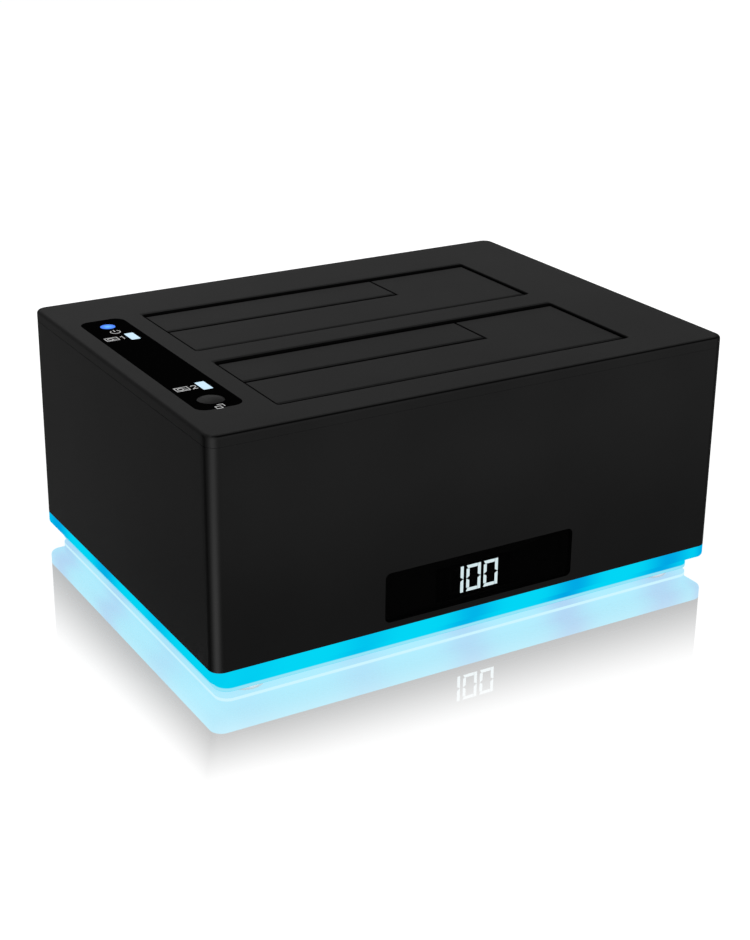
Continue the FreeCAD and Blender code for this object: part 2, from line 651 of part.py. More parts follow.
def makeControlPanel():
    body = newBody("control_panel")
    pad(body, "z", ("panel_bottom", "top"),
        rect(("panel_left", "panel_right"), ("panel_low", "panel_high"), "panel_corner"))
    pocket(body, "z", ("panel_bottom", "top"), *panelHoles())
    for lens in lensSpots():
        pipe = newBody(f"{lens}_led_lens")
        pad(pipe, "z", ("lens_bottom", "top"), lensOutline(lens))
        pad(pipe, "z", ("seam - lens_collar_height", "seam"), lensOutline(lens, "lens_collar"))


def makeButton():
    # a shallow dome on a stem; the flange keeps it under the cover
    spot = buttonSpot
    body = newBody("button_blank")
    del nodes["button_blank"]
    rim = "top - button_crown / 2"
    pad(body, "z", ("flange_top", rim), circle(*spot, "button_radius"))
    flange_bottom = "flange_top - button_flange_height"
    pad(body, "z", (flange_bottom, "flange_top"), circle(*spot, "button_radius + button_flange"))
    pad(body, "z", ("stem_bottom", flange_bottom), circle(*spot, "button_stem_radius"))
    ball = "(button_radius ^ 2 + button_crown ^ 2) / (2 * button_crown)"
    dome = doc.addObject("Part::Sphere", "ButtonDome")
    bind(dome, "Radius", ball)
    for letter, formula in zip("xyz", (*spot, f"{rim} + button_crown - {ball}")):
        bind(dome, f"Placement.Base.{letter}", formula)
    crown = doc.addObject("Part::Common", "ButtonCrown")
    crown.Base, crown.Tool = dome, rod("z", (rim, f"{rim} + 2 * button_crown"), spot, "button_radius")
    keep(join(body, crown), "clone_button")
    plunger = ("tact_top - plunger_in", "stem_bottom")
    keep(rod("z", plunger, spot, "plunger_radius"), "switch_plunger")
    x, y = square(*spot, "tact_size", "tact_size")
    bore = ("tact_top - plunger_in - button_travel - assembly_gap", "tact_top")
    keep(cut(block(x, y, ("control_board_top", "tact_top")),
             rod("z", bore, spot, "plunger_radius + plunger_clearance")), "button_switch")


def makeControlBoard():
    x = ("left + control_board_side", "left + control_board_side + control_board_width")
    y = ("front + control_board_front", "front + control_board_front + control_board_length")
    body = newBody("control_board")
    pad(body, "z", ("control_board_bottom", "control_board_top"), rect(x, y))
    pocket(body, "z", ("control_board_bottom", "control_board_top"),
           *circles(controlPosts(), "small_screw_radius + screw_hole_gap"))
    tip = "control_board_bottom + small_screw_length"
    group("panel_screws", [screw("z", "control_board_bottom", tip, spot, "small_screw_radius",
                                 "small_head_radius", "small_head_height") for spot in controlPosts()])
    leds = []
    for spot_x, spot_y in lensSpots().values():
        sides = square(spot_x, spot_y, "led_width", "led_length")
        leds.append(block(*sides, ("control_board_top", "led_top")))
    group("panel_leds", leds)


# ---- display ----

def makeDisplay():
    body = newBody("display_window")
    pad(body, "y", ("front", "front + window_thickness"),
        rect(("-window_width / 2", "window_width / 2"), ("window_low", "window_top"), "window_corner"))
    keep(block(about("module_x", "module_width / 2"), ("module_front", "display_board_front"),
               about("module_z", "module_height / 2")), "display_module")
    segments = newBody("display_segments")
    segments.AllowCompound = True
    for place in (-1, 0, 1):
        pad(segments, "y", ("module_front - segment_depth / 2", "module_front"),
            *digit(f"module_x + {place} * digit_pitch"))
    board = newBody("display_board")
    pad(board, "y", ("display_board_front", "display_board_back"),
        rect(*square("0", "window_mid", "display_board_width", "display_board_height")))
    posts = [(f"0 {s} display_post_x", "window_mid") for s in ("-", "+")]
    pocket(board, "y", ("display_board_front", "display_board_back"),
           *circles(posts, "small_screw_radius + screw_hole_gap"))
    group("display_screws", [screw("y", "display_board_back", "display_board_back - small_screw_length", post,
                                   "small_screw_radius", "small_head_radius", "small_head_height")
                             for post in posts])


def digit(middle):
    # the seven bars of one digit; the middle bar is pointed, and the upright ones are cut to fit it
    stroke, split = "segment_width", "segment_split"
    left, right, end = f"{middle} - digit_width / 2", f"{middle} + digit_width / 2", "digit_height / 2"
    inner_left, inner_right = f"{left} + {stroke}", f"{right} - {stroke}"
    notch, tip = f"{stroke} / 2 + {split}", f"{split} / 2"
    bars = [outline(*[(x, f"module_z + {z}") for x, z in (
        (f"{left} + {notch}", "0"), (f"{inner_left} + {split}", f"{stroke} / 2"),
        (f"{inner_right} - {split}", f"{stroke} / 2"), (f"{right} - ({notch})", "0"),
        (f"{inner_right} - {split}", f"-{stroke} / 2"), (f"{inner_left} + {split}", f"-{stroke} / 2"))])]
    for sign in ("+", "-"):
        level = [(left, end), (f"{left} + {stroke} / 2", f"{end} - {stroke}"),
                 (f"{inner_right} - {split}", f"{end} - {stroke}"), (f"{inner_right} - {split}", end)]
        far = [(inner_right, notch), (right, tip), (right, end), (inner_right, end)]
        near = [(left, tip), (inner_left, notch), (inner_left, f"{end} - {stroke} - {split}"),
                (left, f"{end} - {stroke} - {split}")]
        bars += [outline(*[(x, f"module_z {sign} ({z})") for x, z in bar]) for bar in (level, far, near)]
    return bars


# ---- bays, flaps and hinges ----

def makeLiner(bay):
    body = newBody(f"{bay}_bay_liner")
    pad(body, "z", ("liner_bottom", "collar_bottom"),
        rect(*slotSides(bay, "liner_wall"), "slot_corner + liner_wall"))
    middle = f"{slotY(bay)[0]} + slot_width / 2"
    for x in (("slot_left - ear_length", "slot_left - liner_wall / 2"),
              ("slot_right + liner_wall / 2", "slot_right + ear_length")):
        pad(body, "z", ("ear_bottom", "collar_bottom"), rect(x, about(middle, "ear_width / 2")))
    pocket(body, "z", ("liner_bottom + liner_floor", "collar_bottom"), rect(*slotSides(bay), "slot_corner"))
    pocket(body, "z", ("liner_bottom", "liner_bottom + liner_floor"),
           rect(*connectorSides(bay, "connector_gap")))
    pocket(body, "z", ("ear_bottom", "collar_bottom"),
           *circles(earSpots(bay), "ear_screw_radius + screw_hole_gap"))


def connectorSides(bay, extra="0"):
    middle = f"{slotY(bay)[1]} - connector_from_hinge"
    return (about("connector_x", f"connector_length / 2 + {extra}"),
            about(middle, f"connector_width / 2 + {extra}"))


def makeConnector(bay):
    # an upright drive socket: one body, a long power slot and a short signal slot, each with its tongue
    x, y = connectorSides(bay)
    middle = f"{slotY(bay)[1]} - connector_from_hinge"
    run = "power_slot_length + slot_spacing + signal_slot_length"
    start = f"connector_x - ({run}) / 2"
    slots = ((start, f"{start} + power_slot_length"),
             (f"{start} + power_slot_length + slot_spacing", f"{start} + {run}"))
    body = newBody(f"{bay}_drive_socket")
    pad(body, "z", ("board_top", "connector_top"), rect(x, y))
    wide = about(middle, "blade_slot_width / 2")
    slot_floor = "connector_top - blade_slot_depth"
    pocket(body, "z", (slot_floor, "connector_top"), *[rect(slot, wide) for slot in slots])
    thin = (f"{wide[1]} - tongue_thickness", wide[1])
    pad(body, "z", (slot_floor, "connector_top - assembly_gap"),
        *[rect((f"{low} + tongue_thickness", f"{high} - tongue_thickness"), thin) for low, high in slots])


def flapEdges(bay):
    low, high = slotY(bay)
    return f"{low} + flap_front_gap", f"{high} - flap_rear_gap"


def hingeParts(body, bay, knuckles, spring_low):
    # knuckles along the hinge line, then room for the pin and the spring
    centre = (hingeY(bay), "hinge_z")
    for low in knuckles:
        pad(body, "x", (low, f"{low} + knuckle_length"), circle(*centre, "knuckle_radius"))
    pocket(body, "x", ("slot_left", "slot_right"), circle(*centre, "pin_radius + pin_clearance"))
    pocket(body, "x", (f"{spring_low} - spring_wire", f"{spring_low} + spring_length + spring_wire"),
           circle(*centre, "spring_coil_radius + spring_wire"))


def makeLargeFlap(bay):
    # an L round the small flap: a full-length front strip and a block at the right
    low, high = flapEdges(bay)
    start, end = "slot_left + flap_gap", "slot_right - flap_gap"
    notch_x = "slot_right - flap_block_length"
    notch_y = f"{slotY(bay)[1]} - small_flap_depth - small_flap_gap"
    body = newBody(f"{bay}_flap")
    pad(body, "z", ("flap_bottom", "flap_top"),
        outline((start, low), (end, low), (end, high), (notch_x, high), (notch_x, notch_y), (start, notch_y)))
    roundFaceEdges(body, "flap_top", "flap_edge_round")
    ribs = ("flap_bottom - flap_rib_height", "flap_bottom")
    first = f"{low} + flap_rib_inset"
    second = f"{notch_y} - flap_rib_inset"
    for rib in (first, second):
        pad(body, "z", ribs, rect((f"{start} + flap_rib_inset", f"{end} - flap_rib_inset"),
                                  about(rib, "flap_rib / 2")))
    knuckles = (f"{notch_x} + knuckle_end", f"{end} - knuckle_end - knuckle_length")
    spring = f"{notch_x} + knuckle_end + spring_offset"
    hingeParts(body, bay, knuckles, spring)
    makeSpring(f"{bay}_flap_spring", bay, spring)


def makeSmallFlap(bay):
    start, end = "slot_left + flap_gap", "slot_right - flap_block_length - small_flap_gap"
    front_edge = f"{slotY(bay)[1]} - small_flap_depth"
    body = newBody(f"{bay}_small_flap")
    pad(body, "z", ("flap_bottom", "flap_top"), rect((start, end), (front_edge, flapEdges(bay)[1])))
    roundFaceEdges(body, "flap_top", "flap_edge_round")
    rib = f"{front_edge} + flap_rib_inset"
    pad(body, "z", ("flap_bottom - flap_rib_height", "flap_bottom"),
        rect((f"{start} + flap_rib_inset", f"{end} - flap_rib_inset"), about(rib, "flap_rib / 2")))
    spring = f"{start} + knuckle_end + spring_offset"
    hingeParts(body, bay, (f"{start} + knuckle_end", f"{end} - knuckle_end - knuckle_length"), spring)
    makeSpring(f"{bay}_small_flap_spring", bay, spring)


def makeSpring(node, bay, low):
    # a torsion spring bent from one wire: a leg under the flap, turns round the hinge line, a rear heel
    wire, coil, pitch = value("spring_wire / 2"), value("spring_coil_radius"), value("spring_pitch")

    def onCoil(turn):
        angle = 2 * math.pi * turn
        return FreeCAD.Vector(coil * math.cos(angle), coil * math.sin(angle), pitch * turn)

    quarters = 4 * round(value("spring_length / spring_pitch"))
    start, end = onCoil(0), onCoil(quarters / 4)
    foot = start - FreeCAD.Vector(0, value("spring_leg"), 0)
    path = [Part.LineSegment(foot, start).toShape()]
    for i in range(quarters):
        path.append(Part.Arc(onCoil(i / 4), onCoil((i + 0.5) / 4), onCoil((i + 1) / 4)).toShape())
    path.append(Part.LineSegment(end, end + FreeCAD.Vector(0, value("spring_heel"), 0)).toShape())
    section = Part.Wire(Part.makeCircle(wire, foot, FreeCAD.Vector(0, 1, 0)))
    # the coil stands on +Z; it is laid along +X with its leg forwards and a little upwards
    lay = FreeCAD.Rotation(FreeCAD.Vector(0, 1, 0), 90)
    lean = FreeCAD.Rotation(FreeCAD.Vector(1, 0, 0), -value("spring_leg_rise"))
    feature = doc.addObject("Part::Feature", "Spring")
    feature.Shape = Part.Wire(path).makePipeShell([section], True, True)
    line = FreeCAD.Vector(value(low), value(hingeY(bay)), value("hinge_z"))
    feature.Placement = FreeCAD.Placement(line, lean.multiply(lay))
    keep(feature, node)


def makePin(bay):
    reach = slotSides(bay, "collar_wall")[0]
    keep(rod("x", reach, (hingeY(bay), "hinge_z"), "pin_radius"), f"{bay}_hinge_pin")


def makeLinerScrews():
    spots = earSpots("target") + earSpots("source")
    group("liner_screws", [screw("z", "ear_bottom", "ear_bottom + ear_screw_length", spot,
                                 "ear_screw_radius", "ear_head_radius", "ear_head_height") for spot in spots])


# ---- main board ----

def boardSpots():
    return [(x, y) for x in ("board_left + standoff_inset", "board_right - standoff_inset")
            for y in ("board_front + standoff_inset", "board_back - standoff_inset")]


def makeMainBoard():
    body = newBody("main_board")
    board = rect(("board_left", "board_right"), ("board_front", "board_back"))
    pad(body, "z", ("board_bottom", "board_top"), board)
    pocket(body, "z", ("board_bottom", "board_top"),
           *circles(boardSpots(), "screw_radius + screw_hole_gap"))
    pillars = []
    for spot in boardSpots():
        pillars.append(cut(rod("z", ("plate_top", "board_bottom"), spot, "standoff_radius"),
                           rod("z", ("plate_top", "board_bottom"), spot, "screw_radius + screw_hole_gap")))
    group("standoffs", pillars)
    tip = "board_bottom - standoff_height / 2"
    group("board_screws", [screw("z", "board_top", tip, spot, "screw_radius", "screw_head_radius",
                                 "screw_head_height") for spot in boardSpots()])


def makeBoardParts():
    # the bridge chip under its heat sink, then memory, coils and capacitors
    chip_y = f"{slotY('target')[1]} - slot_width / 2 - chip_shift"
    sides = square("chip_x", chip_y, "chip_size", "chip_size")
    chip_top = "board_top + chip_height"
    keep(block(*sides, ("board_top", chip_top)), "bridge_chip")
    fins = [block(*sides, (chip_top, f"{chip_top} + sink_base"))]
    for i in range(5):
        x = f"chip_x + ({i} - 2) * sink_fin_pitch"
        fins.append(block(about(x, "sink_fin / 2"), sides[1], (chip_top, f"{chip_top} + sink_height")))
    keep(join(*fins), "heat_sink")
    keep(block(*square("memory_x", chip_y, "memory_width", "memory_length"), ("board_top", chip_top)),
         "memory_chip")
    coils, cans = [], []
    for i in range(2):
        x = f"board_right - coil_in - {i} * coil_pitch"
        sides = square(x, chip_y, "coil_size", "coil_size")
        coils.append(block(*sides, ("board_top", "board_top + coil_height")))
        spot = (f"first_can_x + {i} * can_spacing", "inner_back - socket_room / 2")
        cans.append(rod("z", ("board_top", "board_top + can_height"), spot, "can_radius"))
    group("power_coils", coils)
    group("capacitors", cans)


def makeCables():
    # flat cables from the control board and from the display board to headers on the main board
    middle = "front + panel_ribbon_y"
    y = about(middle, "ribbon_width / 2")
    drop = "left + control_board_side + control_board_width / 2"
    plug = "board_left + assembly_gap"
    level = "board_top + header_height / 2"
    body = newBody("panel_ribbon")
    pad(body, "y", y, outline((drop, level), (plug, level), (plug, f"{level} + ribbon_thickness"),
                              (f"{drop} + ribbon_thickness", f"{level} + ribbon_thickness"),
                              (f"{drop} + ribbon_thickness", "control_board_bottom"),
                              (drop, "control_board_bottom")))
    front_plug = "board_front + assembly_gap"
    keep(block(about("0", "ribbon_width / 2"), ("display_board_back", front_plug),
               (level, f"{level} + ribbon_thickness")), "display_ribbon")
    tall = ("board_top", "board_top + header_height")
    group("ribbon_headers", [
        block((plug, f"{plug} + header_width"), about(middle, "header_length / 2"), tall),
        block(about("0", "header_length / 2"), (front_plug, f"{front_plug} + header_width"), tall)])


# ---- rear sockets and power switch ----

def makeJack():
    centre = ("jack_x", "board_top + jack_bore_rise")
    mouth = "inner_back"
    bore_floor = f"{mouth} - jack_depth + jack_back_wall"
    x = about("jack_x", "jack_width / 2")
    body = cut(block(x, (f"{mouth} - jack_depth", mouth), ("board_top", "board_top + jack_height")),
               rod("y", (bore_floor, mouth), centre, "jack_bore_radius"))
    pin = rod("y", (f"{bore_floor} - assembly_gap", f"{mouth} - jack_pin_sink"), centre, "jack_pin_radius")
    keep(join(body, pin), "power_jack")


def makeUsb():
    mouth = "inner_back + wall / 2"
    x = about("usb_x", "usb_width / 2")
    z = ("board_top", "board_top + usb_height")
    body = newBody("usb_port")
    pad(body, "y", (f"{mouth} - usb_depth", mouth), rect(x, z, "usb_corner"))
    pocket(body, "y", (f"{mouth} - usb_depth + usb_back_wall", mouth),
           rect((f"{x[0]} + usb_wall", f"{x[1]} - usb_wall"), (f"{z[0]} + usb_wall", f"{z[1]} - usb_wall"),
                "usb_corner - usb_wall"))
    middle = "board_top + usb_height / 2"
    pad(body, "y", (f"{mouth} - usb_depth + usb_back_wall / 2", f"{mouth} - usb_tongue_sink"),
        rect(*square("usb_x", middle, "usb_tongue_width", "usb_tongue_height")))


def makeSwitch():
    body = newBody("power_switch")
    outer = "recess_floor + bezel_thickness"
    back_wall = "recess_floor - switch_depth"
    spot = ("switch_x", "switch_z")
    bezel = rect(*square(*spot, "bezel_width", "bezel_height"), "bezel_corner")
    pad(body, "y", ("recess_floor", outer), bezel)
    pad(body, "y", (back_wall, "recess_floor"), rect(*square(*spot, "switch_width", "switch_height")))
    inner = square(*spot, "(switch_width - 2 * switch_wall)",
                   "(switch_height - 2 * switch_wall + cavity_extra)")
    pocket(body, "y", ("recess_floor - switch_cavity", outer), rect(*inner))
    pocket(body, "x", about("switch_x", "switch_width / 2 - switch_wall / 4"),
           circle("rocker_y", "switch_z", "pivot_radius + pivot_clearance"))
    leads = []
    for side in ("-", "+"):
        x = f"switch_x {side} tab_shift"
        z = f"switch_z {side} tab_spacing / 2"
        tab = rect(*square(x, z, "tab_width", "tab_thickness"))
        pad(body, "y", (f"{back_wall} - tab_share * switch_spare", back_wall), tab)
        leads.append(rod("z", ("board_top", f"{z} - tab_thickness / 2"),
                         (x, f"{back_wall} - lead_radius - assembly_gap"), "lead_radius"))
    group("switch_leads", leads)
    makeRocker()


def makeRocker():
    # a shallow V across the pivot, tipped to its first position
    width = "switch_width / 2 - switch_wall - rocker_side_gap"
    slope = "rocker_centre + rocker_half * tan(rocker_slope * 1 deg)"
    rocker = newBody("rocker_blank")
    del nodes["rocker_blank"]
    pad(rocker, "x", (f"-({width})", width),
        outline(("-rocker_back", "-rocker_half"), (slope, "-rocker_half"), ("rocker_centre", "0"),
                (slope, "rocker_half"), ("-rocker_back", "rocker_half")))
    pin = rod("x", about("0", "switch_width / 2 - switch_wall / 2"), ("0", "0"), "pivot_radius")
    whole = join(rocker, pin)
    whole.Placement.Rotation = FreeCAD.Rotation(FreeCAD.Vector(1, 0, 0), -value("rocker_tilt"))
    for letter, formula in zip("xyz", ("switch_x", "rocker_y", "switch_z")):
        bind(whole, f"Placement.Base.{letter}", formula)
    keep(whole, "power_rocker")


makeLightBase()
makeFeet()
makeCaseScrews()
makeChassisPlate()
makeLights()
makeHousing()
makeTopCover()
makeControlPanel()
makeButton()
makeControlBoard()
makeDisplay()
for bay in bays:
    makeLiner(bay)
    makeConnector(bay)
    makeLargeFlap(bay)
    makeSmallFlap(bay)
    makePin(bay)
makeLinerScrews()
makeMainBoard()
makeBoardParts()
makeCables()
makeJack()
makeUsb()
makeSwitch()
doc.recompute()

faults = [f"{thing.Label}: {thing.State}" for thing in doc.Objects if {"Invalid", "Error"} & set(thing.State)]
for feature in cuts:
    before = feature.BaseFeature.Shape if hasattr(feature, "BaseFeature") else feature.Base.Shape
    if feature.Shape.Volume >= before.Volume - 1e-6:
        faults.append(f"{feature.Label}: cuts nothing")
for node, thing in nodes.items():
    if thing.Shape.isNull() or not thing.Shape.isValid() or not thing.Shape.Solids:
        faults.append(f"{node}: no valid solid")
if faults:
    raise RuntimeError("; ".join(faults))

os.makedirs("parts", exist_ok=True)
for node, thing in nodes.items():
    thing.Shape.exportStep(f"parts/{node}.step")
    box = thing.Shape.BoundBox
    print(f"{node}: {len(thing.Shape.Solids)} solids, X {box.XMin:.2f} {box.XMax:.2f}, "
          f"Y {box.YMin:.2f} {box.YMax:.2f}, Z {box.ZMin:.2f} {box.ZMax:.2f}")
print(len(nodes), "nodes")
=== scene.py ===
import bpy
import json
import math
import numpy as np
from mathutils import Euler, Matrix, Vector


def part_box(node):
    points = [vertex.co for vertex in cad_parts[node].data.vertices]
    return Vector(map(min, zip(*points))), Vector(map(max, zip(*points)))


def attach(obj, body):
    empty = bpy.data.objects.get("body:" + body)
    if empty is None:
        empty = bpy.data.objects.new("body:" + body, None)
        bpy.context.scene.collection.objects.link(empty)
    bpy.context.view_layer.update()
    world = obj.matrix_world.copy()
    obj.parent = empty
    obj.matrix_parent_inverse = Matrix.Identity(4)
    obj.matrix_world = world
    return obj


# A two-bay drive duplicator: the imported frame, its finishes, the small pieces that only show, and the studio.
# Lengths are metres and tones are display levels from 0 to 255. A pair that feeds a ramp says where it
# starts and where it ends.

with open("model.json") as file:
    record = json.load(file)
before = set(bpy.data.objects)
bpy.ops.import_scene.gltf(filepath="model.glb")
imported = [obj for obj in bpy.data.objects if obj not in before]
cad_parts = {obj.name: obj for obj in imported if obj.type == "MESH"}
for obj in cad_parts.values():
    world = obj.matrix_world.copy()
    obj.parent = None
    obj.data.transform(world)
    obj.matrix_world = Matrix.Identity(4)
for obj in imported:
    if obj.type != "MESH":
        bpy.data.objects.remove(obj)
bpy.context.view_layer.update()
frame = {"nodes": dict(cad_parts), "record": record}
caseLow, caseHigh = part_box("top_cover")
halfWidth = (caseHigh.x - caseLow.x) / 2
halfDepth = (caseHigh.y - caseLow.y) / 2
print("frame loaded")


def shade(red, green, blue):
    # a colour from its display levels
    levels = np.array([red, green, blue]) / 255
    linear = np.where(levels <= 0.04045, levels / 12.92, ((levels + 0.055) / 1.055) ** 2.4)
    return (*linear.tolist(), 1.0)


def grey(level):
    return shade(level, level, level)


class Value:
    # wraps a shader socket, so that an expression on it adds Math nodes
    def __init__(self, nodes, socket):
        self.nodes = nodes
        self.socket = socket

    def maths(self, operation, *others):
        return self.nodes.node("ShaderNodeMath", {"operation": operation}, dict(enumerate((self, *others))))

    def __add__(self, other):
        return self.maths("ADD", other)

    def __radd__(self, other):
        return self.maths("ADD", other)

    def __sub__(self, other):
        return self.maths("SUBTRACT", other)

    def __rsub__(self, other):
        return self.nodes.node("ShaderNodeMath", {"operation": "SUBTRACT"}, {0: other, 1: self})

    def __mul__(self, other):
        return self.maths("MULTIPLY", other)

    def __rmul__(self, other):
        return self.maths("MULTIPLY", other)

    def __truediv__(self, other):
        return self.maths("DIVIDE", other)

    def power(self, exponent):
        return self.maths("POWER", exponent)

    def size(self):
        return self.maths("ABSOLUTE")

    def wave(self):
        # from 0 to 1 and back each turn, and 1 at no turn
        return self.maths("COSINE") * 0.5 + 0.5

    def atLeast(self, other):
        return self.maths("MAXIMUM", other)

    def atMost(self, other):
        return self.maths("MINIMUM", other)

    def under(self, limit):
        return self.maths("LESS_THAN", limit)

    def over(self, limit):
        return self.maths("GREATER_THAN", limit)

    def ramp(self, low, high, start=0.0, end=1.0):
        # goes smoothly from start to end while this value goes from low to high
        settings = {"interpolation_type": "SMOOTHSTEP"}
        sockets = {"Value": self, "From Min": low, "From Max": high, "To Min": start, "To Max": end}
        return self.nodes.node("ShaderNodeMapRange", settings, sockets)

    def fade(self, low, high):
        return self.ramp(low, high, 1, 0)


class Nodes:
    # a node tree, with one method that adds a node and feeds its sockets
    def __init__(self, tree):
        self.tree = tree

    def feed(self, socket, value):
        if isinstance(value, Value):
            self.tree.links.new(value.socket, socket)
        else:
            socket.default_value = value

    def node(self, kind, settings, sockets, out=0):
        made = self.tree.nodes.new(kind)
        for name, setting in settings.items():
            setattr(made, name, setting)
        for name, value in sockets.items():
            self.feed(made.inputs[name], value)
        return Value(self, made.outputs[out])

    def seen(self):
        # 1 for what the camera sees, also in a mirror or through a clear piece, and 0 for light on the object
        camera, mirrored, through = [self.node("ShaderNodeLightPath", {}, {}, ray)
                                     for ray in ("Is Camera Ray", "Is Glossy Ray", "Is Transmission Ray")]
        return camera.atLeast(mirrored).atLeast(through)


class Finish(Nodes):
    # a material, its shader and the textures that feed it
    def __init__(self, name, sockets):
        self.material = bpy.data.materials.new(name)
        self.material.use_nodes = True
        super().__init__(self.material.node_tree)
        self.shader = self.tree.nodes["Principled BSDF"]
        self.place = self.node("ShaderNodeTexCoord", {}, {}, "Object")
        self.colour = None
        self.put(sockets)

    def put(self, sockets):
        for name, value in sockets.items():
            self.feed(self.shader.inputs[name], value)

    def axes(self):
        split = self.tree.nodes.new("ShaderNodeSeparateXYZ")
        self.feed(split.inputs[0], self.place)
        return [Value(self, socket) for socket in split.outputs]

    def noise(self, scale, detail=2.0, stretch=None):
        spot = self.place
        if stretch:
            spot = self.node("ShaderNodeMapping", {}, {"Vector": spot, "Scale": stretch})
        return self.node("ShaderNodeTexNoise", {}, {"Vector": spot, "Scale": scale, "Detail": detail})

    def cells(self, scale):
        return self.node("ShaderNodeTexVoronoi", {}, {"Vector": self.place, "Scale": scale})

    def mix(self, factor, first, second):
        return self.node("ShaderNodeMix", {"data_type": "RGBA"}, {0: factor, 6: first, 7: second}, 2)

    def bump(self, height, distance):
        return self.node("ShaderNodeBump", {}, {"Height": height, "Distance": distance, "Strength": 1.0})


def blended(first, second, share):
    return first * share + second * (1 - share)


def awayFrom(across, up, centre):
    # distance in a plane from a point on it
    return ((across - centre[0]).power(2) + (up - centre[1]).power(2)).power(0.5)


def middleOf(node):
    low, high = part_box(node)
    return (low + high) / 2


moulded = {
    "grainScale": 3600, "grainDepth": 0.00002, "coarser": 3.1, "fineShare": 0.7,
    "mottleScale": 34, "mottle": 0.05, "mottleShare": 0.6, "mottleSpan": (0.3, 0.7),
    "roughness": 0.45, "roughnessSpread": 0.1, "sheen": 0.006,
}


def mouldedPlastic(name, level, specular=0.0, roughness=moulded["roughness"], grain=1.0):
    # spark-eroded mould texture: fine grain over a faint large mottle
    finish = Finish(name, {"Specular IOR Level": specular})
    fine = finish.noise(moulded["grainScale"], 3)
    coarse = finish.noise(moulded["grainScale"] / moulded["coarser"], 1)
    mottle = finish.noise(moulded["mottleScale"], 3)
    dark, light = [grey(level * (1 + side * moulded["mottle"])) for side in (-1, 1)]
    shown = blended(mottle, fine, moulded["mottleShare"]).ramp(*moulded["mottleSpan"])
    finish.colour = finish.mix(shown, dark, light)
    finish.put({
        "Base Color": finish.colour,
        "Roughness": roughness + (fine - 0.5) * moulded["roughnessSpread"],
        "Normal": finish.bump(blended(fine, coarse, moulded["fineShare"]), moulded["grainDepth"] * grain),
    })
    return finish


casing = {
    "level": 29, "cornerRadius": 0.0032,
    # the painted highlight, laid in the coat: how far it leans to front and back, how narrow it is, and its
    # strength by height
    "lean": 1.6, "narrow": 4.5, "paintedHighlightSpan": (0.012, 0.062), "paintedHighlightFoot": 0.7, "paintedHighlightTop": 0.5,
    "paintedHighlightRoughness": 0.25,
    # the painted shade bands: beside the painted highlight on the side walls, and over the other two corners,
    # where 1 is a wall
    "paintedShadeLevel": 13, "wallSpan": (0.9, 0.97), "besideStart": (-0.7, 0.05), "besideEnd": (0.26, 0.45),
    "paintedShadeSpan": (0.02, 0.3),
    # painted shade: the walls get darker downwards and towards the front, the side walls more so
    "footShade": 0.34, "footAside": 0.2, "footSpan": (0.012, 0.06), "frontSpan": (-0.045, 0.035),
}
coverEdges = {
    # painted shade: a dark line just below the cover's top edge, fainter on the side walls
    "rimShadeLevel": 5, "rimAside": 0.1, "rimStart": (0.00008, 0.00022), "rimEnd": (0.00036, 0.00056),
    "rimInset": (-0.0012, -0.0009),
    # painted shade on the walls of the slots and seats, and on the lip behind each flap
    "gapShadeLevel": 2, "gapSpan": (0.00001, 0.00005), "wall": (0.0022, 0.0026),
    "slotGap": 0.0008, "lipBefore": -0.001, "lipSpan": (0.001, 0.0013),
}


def paintedRimShade(finish, colour, x, y, below):
    # a painted shade line along the cover's rounded top edge
    line = below.ramp(*coverEdges["rimStart"]) * below.fade(*coverEdges["rimEnd"])
    along = (y.size() - halfDepth).ramp(*coverEdges["rimInset"])
    aside = (x.size() - halfWidth).ramp(*coverEdges["rimInset"]) * coverEdges["rimAside"]
    return finish.mix(line * along.atLeast(aside), colour, grey(coverEdges["rimShadeLevel"]))


def paintedGapShade(finish, colour, x, y, below):
    # nothing lights the walls of the slots and seats just under the top face, nor the slots' rear lips
    inward = (halfWidth - x.size()).atMost(halfDepth - y.size())
    gap = below.ramp(*coverEdges["gapSpan"]) * inward.ramp(*coverEdges["wall"])
    for bay in ("source", "target"):
        low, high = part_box(f"{bay}_flap")
        behind = y - (high.y + coverEdges["slotGap"])
        lip = behind.over(coverEdges["lipBefore"]) * behind.fade(*coverEdges["lipSpan"])
        aside = (x - (low.x + high.x) / 2).size() - ((high.x - low.x) / 2 + coverEdges["slotGap"])
        gap = gap.atLeast(lip * aside.under(0))
    return finish.mix(gap, colour, grey(coverEdges["gapShadeLevel"]))


